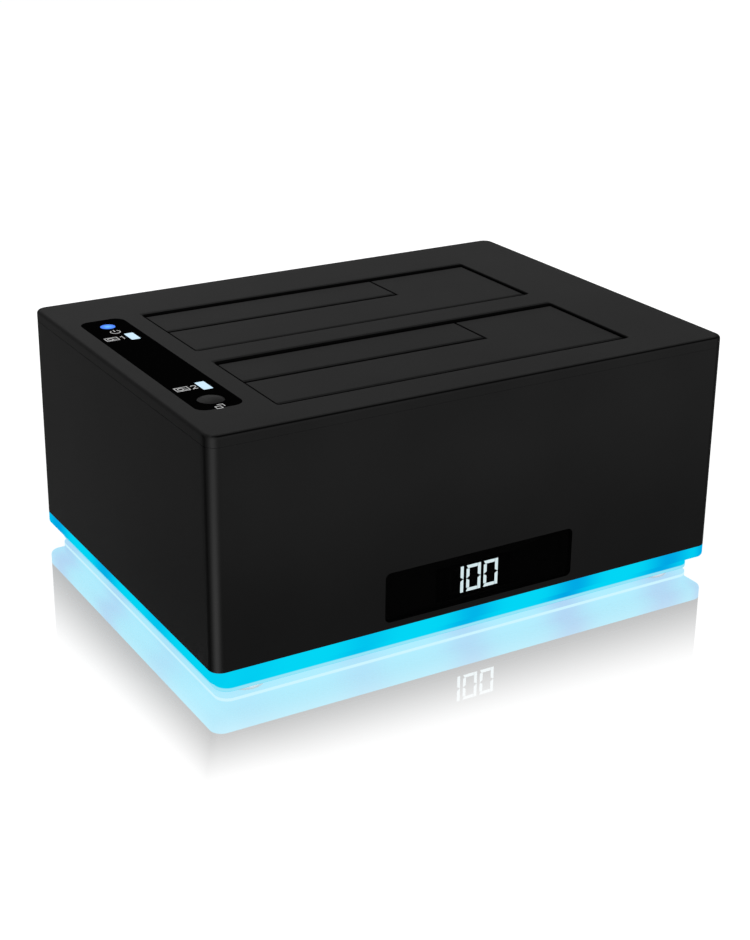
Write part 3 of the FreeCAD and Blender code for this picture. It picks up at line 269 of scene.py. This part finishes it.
def casingPlastic(name, cover=False):
    # the moulded shell; its near and far corners carry a painted highlight in the coat, and the other two carry
    # painted shade
    finish = mouldedPlastic(name, casing["level"], moulded["sheen"])
    x, y, z = finish.axes()
    # how far a point has come outwards in a round corner: 0 beside its centre and 1 on the wall
    turnX = (x.size() - halfWidth) / casing["cornerRadius"] + 1
    turnY = (y.size() - halfDepth) / casing["cornerRadius"] + 1
    outX, outY = turnX.atLeast(0), turnY.atLeast(0)
    # 1 on the near and far corners, which carry the painted highlight, and 0 on the two with painted shade
    highlightCorners = (x * y).over(0)
    # the painted highlight is cos t times sin t to the lean, over the most that this can be, made narrower by a
    # power
    lean = casing["lean"]
    most = lean ** (lean / 2) / (1 + lean) ** ((1 + lean) / 2)
    paintedHighlight = (outX * outY.power(lean) / most).power(casing["narrow"]) * highlightCorners
    paintedHighlight = paintedHighlight * z.ramp(*casing["paintedHighlightSpan"], casing["paintedHighlightFoot"], casing["paintedHighlightTop"])
    wall = turnX.ramp(*casing["wallSpan"])
    # painted shade on the side walls just beside the painted highlight
    paintedShadeBeside = outX.ramp(*casing["wallSpan"]) * turnY.ramp(*casing["besideStart"])
    paintedShadeBeside = paintedShadeBeside * turnY.fade(*casing["besideEnd"]) * highlightCorners
    # painted shade over the other two corners
    darkerPart = (outX * outY).ramp(*casing["paintedShadeSpan"]) * (1 - highlightCorners)
    # painted shade, darker downwards and towards the front
    low = z.fade(*casing["footSpan"]) * y.fade(*casing["frontSpan"])
    body = finish.mix(low * (wall * casing["footAside"] + casing["footShade"]), finish.colour, grey(0))
    colour = finish.mix(paintedShadeBeside.atLeast(darkerPart), body, grey(casing["paintedShadeLevel"]))
    if cover:
        colour = paintedRimShade(finish, colour, x, y, caseHigh.z - z)
        colour = paintedGapShade(finish, colour, x, y, caseHigh.z - z)
    # the painted highlight goes in as the coat's weight
    finish.put({"Base Color": colour, "Coat Weight": paintedHighlight, "Coat Roughness": casing["paintedHighlightRoughness"]})
    return finish


flapEdges = {"below": (0.00003, 0.00012), "front": (0.0011, 0.0016), "side": (0.0001, 0.0003)}


def flapPlastic(node):
    # the flaps match the cover on top and carry painted shade at their edges, where they meet the gaps
    finish = mouldedPlastic(node + "Black", casing["level"], moulded["sheen"])
    low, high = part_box(node)
    x, y, z = finish.axes()
    # painted shade on the flap's walls, in a band along its front edge and in thin lines along its other edges
    edge = (high.z - z).ramp(*flapEdges["below"]).atLeast((y - low.y).fade(*flapEdges["front"]))
    inset = (high.y - y).atMost(x - low.x).atMost(high.x - x)
    edge = edge.atLeast(inset.fade(*flapEdges["side"]))
    finish.put({"Base Color": finish.mix(edge, finish.colour, grey(coverEdges["gapShadeLevel"]))})
    return finish


gloss = {
    "level": 3, "roughness": 0.16, "dustScale": 900, "dustLevel": 12, "dustSize": (0.05, 0.09),
    "dustRoughness": 0.2, "patchScale": 300, "patchSpan": (0.56, 0.62),
    "wipeScale": 60, "wipeStretch": (1, 6, 1), "wipeSpread": 0.08,
}


def glossBlack(name, alpha=1.0):
    # polished acrylic with a breath of dust and wiping marks
    finish = Finish(name, {"Specular IOR Level": 0.0, "Alpha": alpha})
    patch = finish.noise(gloss["patchScale"], 1).ramp(*gloss["patchSpan"])
    dust = finish.cells(gloss["dustScale"]).fade(*gloss["dustSize"]) * patch
    wipe = finish.noise(gloss["wipeScale"], 3, gloss["wipeStretch"])
    finish.put({
        "Base Color": finish.mix(dust, grey(gloss["level"]), grey(gloss["dustLevel"])),
        "Roughness": gloss["roughness"] + (wipe - 0.5) * gloss["wipeSpread"] + dust * gloss["dustRoughness"],
    })
    return finish


glow = {
    "cyan": (2, 212, 243), "blue": (0, 145, 220), "unlit": (0, 24, 32),
    # lamps behind the front and side walls: how far apart, where one stands and how sharp its spot is
    "frontPitch": 0.032, "frontSpot": -0.002, "sidePitch": 0.035, "sideSpot": 0.0115, "sharp": 2.2,
    "sideWall": (0.002, 0.006),
    # the spots' strength from the near corner to the far ones, clouded
    "reachSpan": (0.0, 0.8), "reachStrength": (0.12, 0.72),
    "cloudScale": 120, "cloud": 0.3, "cloudFrom": 0.85,
    # the lowest part of the wall is paler, but not its foot
    "pale": (150, 228, 246), "paleSpan": (0.00075, 0.001), "foot": 0.00005,
    "frostScale": 900, "frostDepth": 0.00001,
}


def litAcrylic():
    # frosted acrylic lit from inside: bluer where a lamp stands, more so away from the near corner
    finish = Finish("litAcrylic", {"Specular IOR Level": 0.0, "Roughness": 0.18, "Emission Strength": 1.0})
    x, y, z = finish.axes()
    turn = 2 * math.pi
    front = ((x - glow["frontSpot"]) * (turn / glow["frontPitch"])).wave()
    side = ((y - glow["sideSpot"]) * (turn / glow["sidePitch"])).wave()
    onSide = (halfWidth - x.size()).fade(*glow["sideWall"])
    spots = (front * (1 - onSide) + side * onSide).power(glow["sharp"])
    reach = (x + halfWidth) / (2 * halfWidth) + (y + halfDepth) / (2 * halfDepth)
    cloud = finish.noise(glow["cloudScale"], 3) * glow["cloud"] + glow["cloudFrom"]
    strength = spots * reach.ramp(*glow["reachSpan"], *glow["reachStrength"]) * cloud
    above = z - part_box("light_base")[0].z
    paler = above.over(glow["foot"]) * above.fade(*glow["paleSpan"])
    colour = finish.mix(strength, shade(*glow["cyan"]), shade(*glow["blue"]))
    finish.put({
        "Base Color": shade(*glow["unlit"]),
        "Emission Color": finish.mix(paler, colour, shade(*glow["pale"])),
        "Normal": finish.bump(finish.noise(glow["frostScale"], 2), glow["frostDepth"]),
    })
    return finish


lampLens = {
    "base": (4, 16, 40), "blue": (14, 116, 246), "hot": (76, 180, 255), "hotRadius": 0.0017,
    "waverScale": 1500, "waver": 0.0004,
}


def blueLens():
    # a diffusing lens with its lamp in the middle
    finish = Finish("blueLens", {"Specular IOR Level": 0.05, "Roughness": 0.25, "Emission Strength": 1.0})
    x, y, z = finish.axes()
    waver = (finish.noise(lampLens["waverScale"], 1) - 0.5) * lampLens["waver"]
    far = awayFrom(x, y, middleOf("power_led_lens")) + waver
    hot = far.fade(0.0, lampLens["hotRadius"])
    finish.put({
        "Base Color": shade(*lampLens["base"]),
        "Emission Color": finish.mix(hot, shade(*lampLens["blue"]), shade(*lampLens["hot"])),
    })
    return finish


bayLens = {
    "base": (20, 28, 32), "edge": (252, 254, 255), "core": (196, 226, 244), "edgeSpan": (0.00021, 0.0007),
    "cloudScale": 1200, "cloud": 0.3, "cloudFrom": 0.85,
}


def iceLens():
    # a pale lens, white along its edge
    finish = Finish("iceLens", {"Specular IOR Level": 0.05, "Roughness": 0.25, "Emission Strength": 1.0})
    x, y, z = finish.axes()
    low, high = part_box("source_led_lens")
    source, target = middleOf("source_led_lens"), middleOf("target_led_lens")
    half = (high - low) / 2
    along = (y - source.y).size().atMost((y - target.y).size())
    inset = (half.y - along).atMost(half.x - (x - source.x).size())
    cloud = finish.noise(bayLens["cloudScale"], 1) * bayLens["cloud"] + bayLens["cloudFrom"]
    core = inset.ramp(*bayLens["edgeSpan"]) * cloud
    finish.put({
        "Base Color": shade(*bayLens["base"]),
        "Emission Color": finish.mix(core, shade(*bayLens["edge"]), shade(*bayLens["core"])),
    })
    return finish


numbers = {
    "pitch": 0.00525, "stroke": 0.0008, "split": 0.00018, "slack": 0.00003, "barShare": 1.1,
    "strength": 4.2, "unlit": 30, "cool": (214, 244, 252), "white": (245, 254, 255), "cloudScale": 1400,
}


def whiteLight():
    # the display shows 100: the first number has its two right bars, and the others all but the middle bar
    finish = Finish("whiteLight", {
        "Specular IOR Level": 0.0, "Roughness": 0.5, "Emission Strength": numbers["strength"],
    })
    low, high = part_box("display_segments")
    centre = (low + high) / 2
    half = (high.x - low.x) / 2 - numbers["pitch"]
    x, y, z = finish.axes()
    across = x - centre.x
    aside = across.size().atMost((across.size() - numbers["pitch"]).size())
    # the middle bar comes to a point at each end, between the slanted ends of the bars beside it
    slope = (numbers["stroke"] + numbers["split"]) / (2 * numbers["stroke"])
    reach = (half - aside) * slope + numbers["split"] / 2 - numbers["slack"]
    middle = (z - centre.z).size().under(reach)
    first = across.under(half - numbers["pitch"] - numbers["stroke"] * numbers["barShare"])
    lit = 1 - middle.atLeast(first)
    cloud = finish.noise(numbers["cloudScale"], 1)
    core = finish.mix(cloud, shade(*numbers["cool"]), shade(*numbers["white"]))
    finish.put({"Base Color": grey(numbers["unlit"]), "Emission Color": finish.mix(lit, grey(0), core)})
    return finish


rubber = {
    "darkerPart": (226, 216, 216), "pale": (244, 238, 236), "cloudScale": 260, "roughness": 0.35,
    "roughnessSpread": 0.2, "grainScale": 1500, "grainDepth": 0.00002,
}


def clearRubber():
    # cloudy soft rubber
    finish = Finish("clearRubber", {"Specular IOR Level": 0.1})
    cloud = finish.noise(rubber["cloudScale"], 3)
    finish.put({
        "Base Color": finish.mix(cloud, shade(*rubber["darkerPart"]), shade(*rubber["pale"])),
        "Roughness": rubber["roughness"] + (cloud - 0.5) * rubber["roughnessSpread"],
        "Normal": finish.bump(finish.noise(rubber["grainScale"], 2), rubber["grainDepth"]),
    })
    return finish


brushed = {
    "streakScale": 900, "streakShare": 0.6, "streakDepth": 0.000012, "streakSpread": 0.25,
    "blotchScale": 70, "blotchSpread": 0.12, "dim": 0.72,
}


def brushedMetal(name, levels, roughness, stretch):
    # drawn or brushed metal: long streaks in the roughness and a fine bump
    finish = Finish(name, {"Metallic": 1.0})
    streak = finish.noise(brushed["streakScale"], 3, stretch)
    blotch = finish.noise(brushed["blotchScale"], 3)
    colour = shade(*levels)
    dim = tuple(brushed["dim"] * part for part in colour[:3]) + (1.0,)
    uneven = (streak - 0.5) * brushed["streakSpread"] + (blotch - 0.5) * brushed["blotchSpread"]
    finish.put({
        "Base Color": finish.mix(blended(streak, blotch, brushed["streakShare"]), dim, colour),
        "Roughness": roughness + uneven,
        "Normal": finish.bump(streak, brushed["streakDepth"]),
    })
    return finish


paint = {
    "cloudScale": 240, "cloudSpan": (0.3, 0.7), "roughnessSpread": 0.15, "specular": 0.3,
    "grainScale": 3200, "grainDepth": 0.00001,
}


def paintedPart(name, low, high, roughness, scale=paint["cloudScale"], specular=paint["specular"]):
    # an even colour with slow clouds in it, from one level or shade to another
    finish = Finish(name, {"Specular IOR Level": specular})
    cloud = finish.noise(scale, 3)
    finish.put({
        "Base Color": finish.mix(cloud.ramp(*paint["cloudSpan"]), low, high),
        "Roughness": roughness + (cloud - 0.5) * paint["roughnessSpread"],
        "Normal": finish.bump(finish.noise(paint["grainScale"], 2), paint["grainDepth"]),
    })
    return finish


board = {
    "mask": (12, 62, 34), "track": (34, 104, 60), "pitch": 0.0021, "trackShare": 0.22,
    "bendScale": 140, "bend": 6, "patchScale": 90, "patchSize": 0.5,
    "hole": (196, 160, 92), "holeScale": 420, "holeSize": 0.14, "depth": 0.00003,
}


def circuitBoard(name):
    # solder mask over tracks that run two ways in patches
    finish = Finish(name, {"Specular IOR Level": 0.4, "Roughness": 0.3})
    x, y, z = finish.axes()
    patch = finish.cells(board["patchScale"]).over(board["patchSize"])
    runs = []
    for axis in (x, y):
        bend = (finish.noise(board["bendScale"], 0) - 0.5) * board["bend"]
        runs.append((axis * (2 * math.pi / board["pitch"]) + bend).wave().over(1 - board["trackShare"]))
    track = runs[0] * patch + runs[1] * (1 - patch)
    holes = finish.cells(board["holeScale"]).under(board["holeSize"])
    base = finish.mix(track, shade(*board["mask"]), shade(*board["track"]))
    finish.put({
        "Base Color": finish.mix(holes, base, shade(*board["hole"])),
        "Metallic": holes,
        "Normal": finish.bump(track + holes, board["depth"]),
    })
    return finish


ribbon = {"pitch": 0.001, "groove": 0.00012, "grooveLevel": 120, "wireLevel": 168}


def flatCable():
    # grey ribbon with a groove between each pair of wires
    finish = Finish("flatCable", {"Specular IOR Level": 0.3, "Roughness": 0.45})
    x, y, z = finish.axes()
    wire = ((x + y) * (2 * math.pi / ribbon["pitch"])).wave()
    finish.put({
        "Base Color": finish.mix(wire, grey(ribbon["grooveLevel"]), grey(ribbon["wireLevel"])),
        "Normal": finish.bump(wire, ribbon["groove"]),
    })
    return finish


jack = {
    "level": 20, "metal": (186, 182, 172), "sleeveRadius": 0.0034, "boreHeight": 0.0065, "face": 0.0002,
    "roughness": 0.5, "metalRoughness": 0.25,
}


def jackPlastic():
    # black moulding whose pin and sleeve are plated metal
    finish = mouldedPlastic("jackPlastic", jack["level"], 0.2)
    low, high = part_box("power_jack")
    x, y, z = finish.axes()
    far = awayFrom(x, z, ((low.x + high.x) / 2, low.z + jack["boreHeight"]))
    metal = far.under(jack["sleeveRadius"]) * y.under(high.y - jack["face"])
    finish.put({
        "Base Color": finish.mix(metal, grey(jack["level"]), shade(*jack["metal"])),
        "Metallic": metal,
        "Roughness": jack["roughness"] + metal * (jack["metalRoughness"] - jack["roughness"]),
    })
    return finish


finishes = {
    "black_shell": casingPlastic("blackShell"),
    "black_cover": casingPlastic("blackCover", cover=True),
    "button_black": mouldedPlastic("buttonBlack", 17, specular=0.01, roughness=0.4, grain=0.5),
    "liner_black": mouldedPlastic("linerBlack", 20, roughness=0.6),
    "gloss_black": glossBlack("glossBlack"),
    "light_acrylic": litAcrylic(),
    "clear_rubber": clearRubber(),
    "blue_lens": blueLens(),
    "ice_lens": iceLens(),
    "white_light": whiteLight(),
    "module_grey": paintedPart("moduleGrey", grey(8), grey(14), 0.5, scale=200, specular=0.0),
    "socket_black": mouldedPlastic("socketBlack", 24, specular=0.1, roughness=0.42, grain=0.6),
    "switch_black": mouldedPlastic("switchBlack", 26, specular=0.06, roughness=0.36, grain=0.5),
    "rocker_black": mouldedPlastic("rockerBlack", 22, specular=0.1, roughness=0.3, grain=0.4),
    "circuit_board": circuitBoard("circuitBoard"),
    "strip_board": paintedPart("stripBoard", grey(214), grey(238), 0.4),
    "plate_steel": brushedMetal("plateSteel", (176, 180, 184), 0.4, (1, 30, 1)),
    "screw_steel": brushedMetal("screwSteel", (168, 170, 174), 0.3, (1, 1, 12)),
    "brass": brushedMetal("brassTurned", (206, 168, 92), 0.3, (1, 1, 20)),
    "sink_aluminium": brushedMetal("sinkAluminium", (150, 154, 160), 0.45, (1, 20, 1)),
    "can_metal": brushedMetal("canMetal", (190, 192, 196), 0.3, (1, 1, 16)),
    "port_metal": brushedMetal("portMetal", (184, 186, 188), 0.28, (12, 1, 1)),
    "chip_black": paintedPart("chipBlack", grey(22), grey(34), 0.45),
    "coil_grey": paintedPart("coilGrey", grey(60), grey(82), 0.6),
    "led_white": paintedPart("lampWhite", shade(226, 220, 180), shade(246, 242, 214), 0.3),
    "lead_red": paintedPart("leadRed", shade(150, 18, 16), shade(188, 30, 26), 0.4),
    "ribbon_grey": flatCable(),
    "header_white": paintedPart("headerWhite", shade(216, 212, 200), shade(236, 232, 222), 0.4),
}
# pieces whose finish is their own
ownFinishes = {"display_window": glossBlack("smokedWindow", alpha=0.55), "power_jack": jackPlastic()}
for flap in ("source_flap", "source_small_flap", "target_flap", "target_small_flap"):
    ownFinishes[flap] = flapPlastic(flap)
for part in frame["record"]["subparts"]:
    finish = ownFinishes.get(part["node"]) or finishes[part["material_slot"]]
    mesh = frame["nodes"][part["node"]].data
    mesh.materials.clear()
    mesh.materials.append(finish.material)


def carried(path, profile, closed=False):
    # A profile carried along a path in a plane: at each point the profile's first number is set off
    # along the path's mitred side and its second along the plane's normal.
    path = np.asarray(path, float)
    profile = np.asarray(profile, float)
    if closed:
        before, after = np.roll(path, 1, 0), np.roll(path, -1, 0)
    else:
        before = np.vstack([2 * path[0] - path[1], path[:-1]])
        after = np.vstack([path[1:], 2 * path[-1] - path[-2]])
    sides = []
    for run in (path - before, after - path):
        run = run / np.linalg.norm(run, axis=1, keepdims=True)
        sides.append(np.stack([-run[:, 1], run[:, 0]], 1))
    mitre = sides[0] + sides[1]
    mitre /= (mitre * sides[0]).sum(1, keepdims=True)
    flat = path[:, None, :] + profile[None, :, :1] * mitre[:, None, :]
    high = np.broadcast_to(profile[None, :, 1:], flat.shape[:2] + (1,))
    points = np.concatenate([flat, high], 2).reshape(-1, 3)
    count, around = len(path), len(profile)
    i = np.arange(count if closed else count - 1)[:, None]
    j = np.arange(around)[None, :]
    nextI = (i + 1) % count
    nextJ = (j + 1) % around
    grid = np.stack([i * around + j, nextI * around + j, nextI * around + nextJ, i * around + nextJ], 2)
    faces = grid.reshape(-1, 4).tolist()
    if not closed:
        faces.append(list(range(around)))
        faces.append(list(range((count - 1) * around, count * around))[::-1])
    return points, faces


raisedEdge = {"sink": 0.00002, "chamfer": 0.35}


def raised(width, height):
    # the section of a printed or plated line: flat on top with chamfered edges, its foot in the surface
    half, chamfer, foot = width / 2, min(width, height) * raisedEdge["chamfer"], -raisedEdge["sink"]
    return [(half, foot), (half, height - chamfer), (half - chamfer, height),
            (chamfer - half, height), (-half, height - chamfer), (-half, foot)]


def arc(centre, radius, start, end, steps=28):
    # points at even angles on a circle, in degrees
    angles = np.radians(np.linspace(start, end, steps))
    return np.stack([centre[0] + radius * np.cos(angles), centre[1] + radius * np.sin(angles)], 1)


def placed(shapes, origin, across, up):
    # shapes drawn in a plane are set in space, with the plane's normal outwards
    across, up = np.array(across, float), np.array(up, float)
    axes = np.stack([across, up, np.cross(across, up)])
    return [(points @ axes + np.array(origin), faces) for points, faces in shapes]


def makePiece(name, shapes, finish, body):
    points, faces, start = [], [], 0
    for shapePoints, shapeFaces in shapes:
        points.append(shapePoints)
        faces += [[start + corner for corner in face] for face in shapeFaces]
        start += len(shapePoints)
    mesh = bpy.data.meshes.new(name)
    mesh.from_pydata(np.vstack(points).tolist(), [], faces)
    mesh.update()
    mesh.materials.append(finish.material)
    piece = bpy.data.objects.new(name, mesh)
    bpy.context.scene.collection.objects.link(piece)
    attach(piece, body)
    return piece


marks = {
    "line": 0.00026, "height": 0.00005, "powerSize": 0.0026, "powerBelow": 0.0052,
    "diskWidth": 0.0034, "diskHeight": 0.0024, "diskBefore": 0.0058,
    "numberSize": 0.0022, "numberBefore": 0.0026, "copySize": 0.0024, "copyShift": (-0.0004, -0.0015),
}


def line(points, closed=False):
    return carried(points, raised(marks["line"], marks["height"]), closed)


def numeralOne(x, y, size):
    # a stem with its flag
    flag = size * 0.28
    return [line([(x - flag, y + flag), (x, y + size / 2), (x, y - size / 2)])]


def numeralTwo(x, y, size):
    # a bow over a straight foot
    radius = size * 0.28
    bow = arc((x, y + size / 2 - radius), radius, 170, -35, 14)
    return [line(np.vstack([bow, [(x - radius, y - size / 2), (x + radius, y - size / 2)]]))]


def powerSign(x, y, size):
    # a ring open at the top, with a stroke through the opening
    ring = arc((x, y), size / 2, 125, 415)
    return [line(ring), line([(x, y + size * 0.06), (x, y + size * 0.62)])]


def rectangle(x, y, width, height):
    return [(x - width / 2, y - height / 2), (x + width / 2, y - height / 2),
            (x + width / 2, y + height / 2), (x - width / 2, y + height / 2)]


def copySign(x, y, size):
    # two sheets, the one behind shown by its free edges
    edge, shift = size * 0.6, size * 0.2
    front = rectangle(x - shift, y - shift, edge, edge)
    back = rectangle(x + shift, y + shift, edge, edge)[1:]
    return [line(front, closed=True), line(back)]


def diskSign(x, y, width, height):
    # a drive: a frame with its disk and arm
    disk = arc((x - width * 0.12, y), height * 0.3, 0, 360, 25)[:-1]
    arm = [(x + width * 0.36, y - height * 0.28), (x + width * 0.1, y + height * 0.02)]
    return [line(rectangle(x, y, width, height), closed=True), line(disk, closed=True), line(arm)]


def makePanelMarks():
    printWhite = paintedPart("printWhite", grey(170), grey(196), 0.6, scale=900, specular=0.0)
    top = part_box("control_panel")[1].z
    power, button = middleOf("power_led_lens"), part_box("clone_button")
    shapes = powerSign(power.x, power.y - marks["powerBelow"], marks["powerSize"])
    for bay, numeral in (("source", numeralOne), ("target", numeralTwo)):
        lens = middleOf(f"{bay}_led_lens")
        shapes += diskSign(lens.x - marks["diskBefore"], lens.y, marks["diskWidth"], marks["diskHeight"])
        shapes += numeral(lens.x - marks["numberBefore"], lens.y, marks["numberSize"])
    shiftX, shiftY = marks["copyShift"]
    shapes += copySign((button[0].x + button[1].x) / 2 + shiftX, button[0].y + shiftY, marks["copySize"])
    made = placed(shapes, (0, 0, top), (1, 0, 0), (0, 1, 0))
    makePiece("panel_marks", made, printWhite, "root")


goldPlate = brushedMetal("goldPlate", (222, 178, 96), 0.28, (1, 1, 30))
contacts = {
    "pitch": 0.00127, "width": 0.0006, "height": 0.00012, "tongueFace": 0.0002,
    "foot": 0.0047, "tip": 0.0006,
    # how many strips, and the middle of their row from the socket's middle
    "power": (15, -0.0065), "signal": (7, 0.0115),
}


def makeDriveContacts(bay):
    # a row of sprung strips on each tongue of the drive socket
    low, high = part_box(f"{bay}_drive_socket")
    centre = (low + high) / 2
    section = raised(contacts["width"], contacts["height"])
    shapes = []
    for row in ("power", "signal"):
        count, middle = contacts[row]
        for i in range(count):
            x = centre.x + middle + (i - (count - 1) / 2) * contacts["pitch"]
            strip = [(x, high.z - contacts["foot"]), (x, high.z - contacts["tip"])]
            shapes.append(carried(strip, section))
    made = placed(shapes, (0, centre.y + contacts["tongueFace"], 0), (1, 0, 0), (0, 0, 1))
    makePiece(f"{bay}_socket_contacts", made, goldPlate, "root")


portContacts = {
    "count": 12, "pitch": 0.0005, "width": 0.00026, "height": 0.00006, "foot": 0.0044, "tip": 0.0014,
    "tongueHalf": 0.00035,
}


def makePortContacts():
    # a row of strips on each face of the port's tongue
    low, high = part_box("usb_port")
    middle = (low + high) / 2
    section = raised(portContacts["width"], portContacts["height"])
    shapes = []
    for side in (1, -1):
        strips = []
        for i in range(portContacts["count"]):
            x = side * (middle.x + (i - (portContacts["count"] - 1) / 2) * portContacts["pitch"])
            strip = [(x, high.y - portContacts["foot"]), (x, high.y - portContacts["tip"])]
            strips.append(carried(strip, section))
        level = middle.z + side * portContacts["tongueHalf"]
        shapes += placed(strips, (0, 0, level), (side, 0, 0), (0, 1, 0))
    makePiece("port_contacts", shapes, goldPlate, "root")


makePanelMarks()
for bay in ("source", "target"):
    makeDriveContacts(bay)
makePortContacts()
print("small pieces made")


view = {
    "at": (-0.22876, -0.38399, 0.21192), "turn": -29.371, "tilt": 69.294, "roll": 0.110,
    "lens": 66.44, "shiftX": 0.04735, "shiftY": -0.06362, "nearest": 0.01,
}
floorLook = {
    # what the camera sees: white, a little of it lit so that shadows show, over a mirror that fades outwards
    "size": 3.0, "white": 0.88, "lit": 0.25, "mirror": 0.55, "fadeSpan": (0.008, 0.128),
    # the fade's reach beside the case and before it, for its distance from the camera
    "across": 0.49, "along": 0.87,
    # what lights the object
    "plain": 130, "roughness": 0.6,
}


def floorFinish():
    # white, with a polished patch round the object that mirrors it and fades outwards
    finish = Finish("studioFloor", {"Specular IOR Level": 0.0, "Roughness": floorLook["roughness"]})
    finish.put({"Base Color": grey(floorLook["plain"])})
    x, y, z = finish.axes()
    outX = (x.size() - halfWidth) / floorLook["across"]
    outY = (y.size() - halfDepth) / floorLook["along"]
    away = outX.atLeast(outY) / awayFrom(x, y, view["at"])
    mirror = away.ramp(*floorLook["fadeSpan"], floorLook["mirror"], 0.0)
    lit = (floorLook["lit"],) * 3 + (1.0,)
    whiteSheet = finish.node("ShaderNodeEmission", {}, {"Color": grey(255), "Strength": floorLook["white"]})
    litSheet = finish.node("ShaderNodeBsdfDiffuse", {}, {"Color": lit})
    sheet = finish.node("ShaderNodeAddShader", {}, {0: whiteSheet, 1: litSheet})
    mirrored = finish.node("ShaderNodeBsdfGlossy", {}, {"Color": grey(255), "Roughness": 0.0})
    polished = finish.node("ShaderNodeMixShader", {}, {0: mirror, 1: sheet, 2: mirrored})
    plain = Value(finish, finish.shader.outputs[0])
    surface = finish.node("ShaderNodeMixShader", {}, {0: finish.seen(), 1: plain, 2: polished})
    finish.feed(finish.tree.nodes["Material Output"].inputs["Surface"], surface)
    return finish


def makeFloor():
    side = floorLook["size"]
    mesh = bpy.data.meshes.new("floor")
    mesh.from_pydata([(x, y, 0) for x, y in rectangle(0, 0, side, side)], [], [(0, 1, 2, 3)])
    mesh.materials.append(floorFinish().material)
    floor = bpy.data.objects.new("floor", mesh)
    bpy.context.scene.collection.objects.link(floor)


worldLook = {"level": 0.52}


def makeWorld():
    # white to the camera, and dimmer as light on the object
    world = bpy.data.worlds.new("studio")
    world.use_nodes = True
    bpy.context.scene.world = world
    nodes = Nodes(world.node_tree)
    background = world.node_tree.nodes["Background"]
    nodes.feed(background.inputs["Color"], grey(255))
    nodes.feed(background.inputs["Strength"], nodes.seen().ramp(0, 1, worldLook["level"], 1))


lampAim = (0, 0, 0.035)
lamps = {
    "overhead": {"at": (0.0, 0.5, 0.58), "size": 0.5, "watts": 3.1},
    "front": {"at": (0.25, -1.0, 0.36), "size": 0.5, "watts": 8.0},
}


def makeLamps():
    for name, lamp in lamps.items():
        data = bpy.data.lights.new(name, "AREA")
        data.size, data.energy = lamp["size"], lamp["watts"]
        made = bpy.data.objects.new(name, data)
        made.location = lamp["at"]
        made.rotation_euler = (Vector(lampAim) - made.location).to_track_quat("-Z", "Y").to_euler()
        bpy.context.scene.collection.objects.link(made)


def makeCamera():
    data = bpy.data.cameras.new("camera")
    data.lens, data.shift_x, data.shift_y = view["lens"], view["shiftX"], view["shiftY"]
    data.clip_start = view["nearest"]
    camera = bpy.data.objects.new("camera", data)
    camera.location = view["at"]
    stand = Euler((math.radians(view["tilt"]), 0, math.radians(view["turn"]))).to_matrix()
    camera.rotation_euler = (stand @ Matrix.Rotation(math.radians(view["roll"]), 3, "Z")).to_euler()
    bpy.context.scene.collection.objects.link(camera)
    bpy.context.scene.camera = camera


makeFloor()
makeWorld()
makeLamps()
makeCamera()
bpy.context.scene.view_settings.view_transform = "Standard"
print("studio ready")
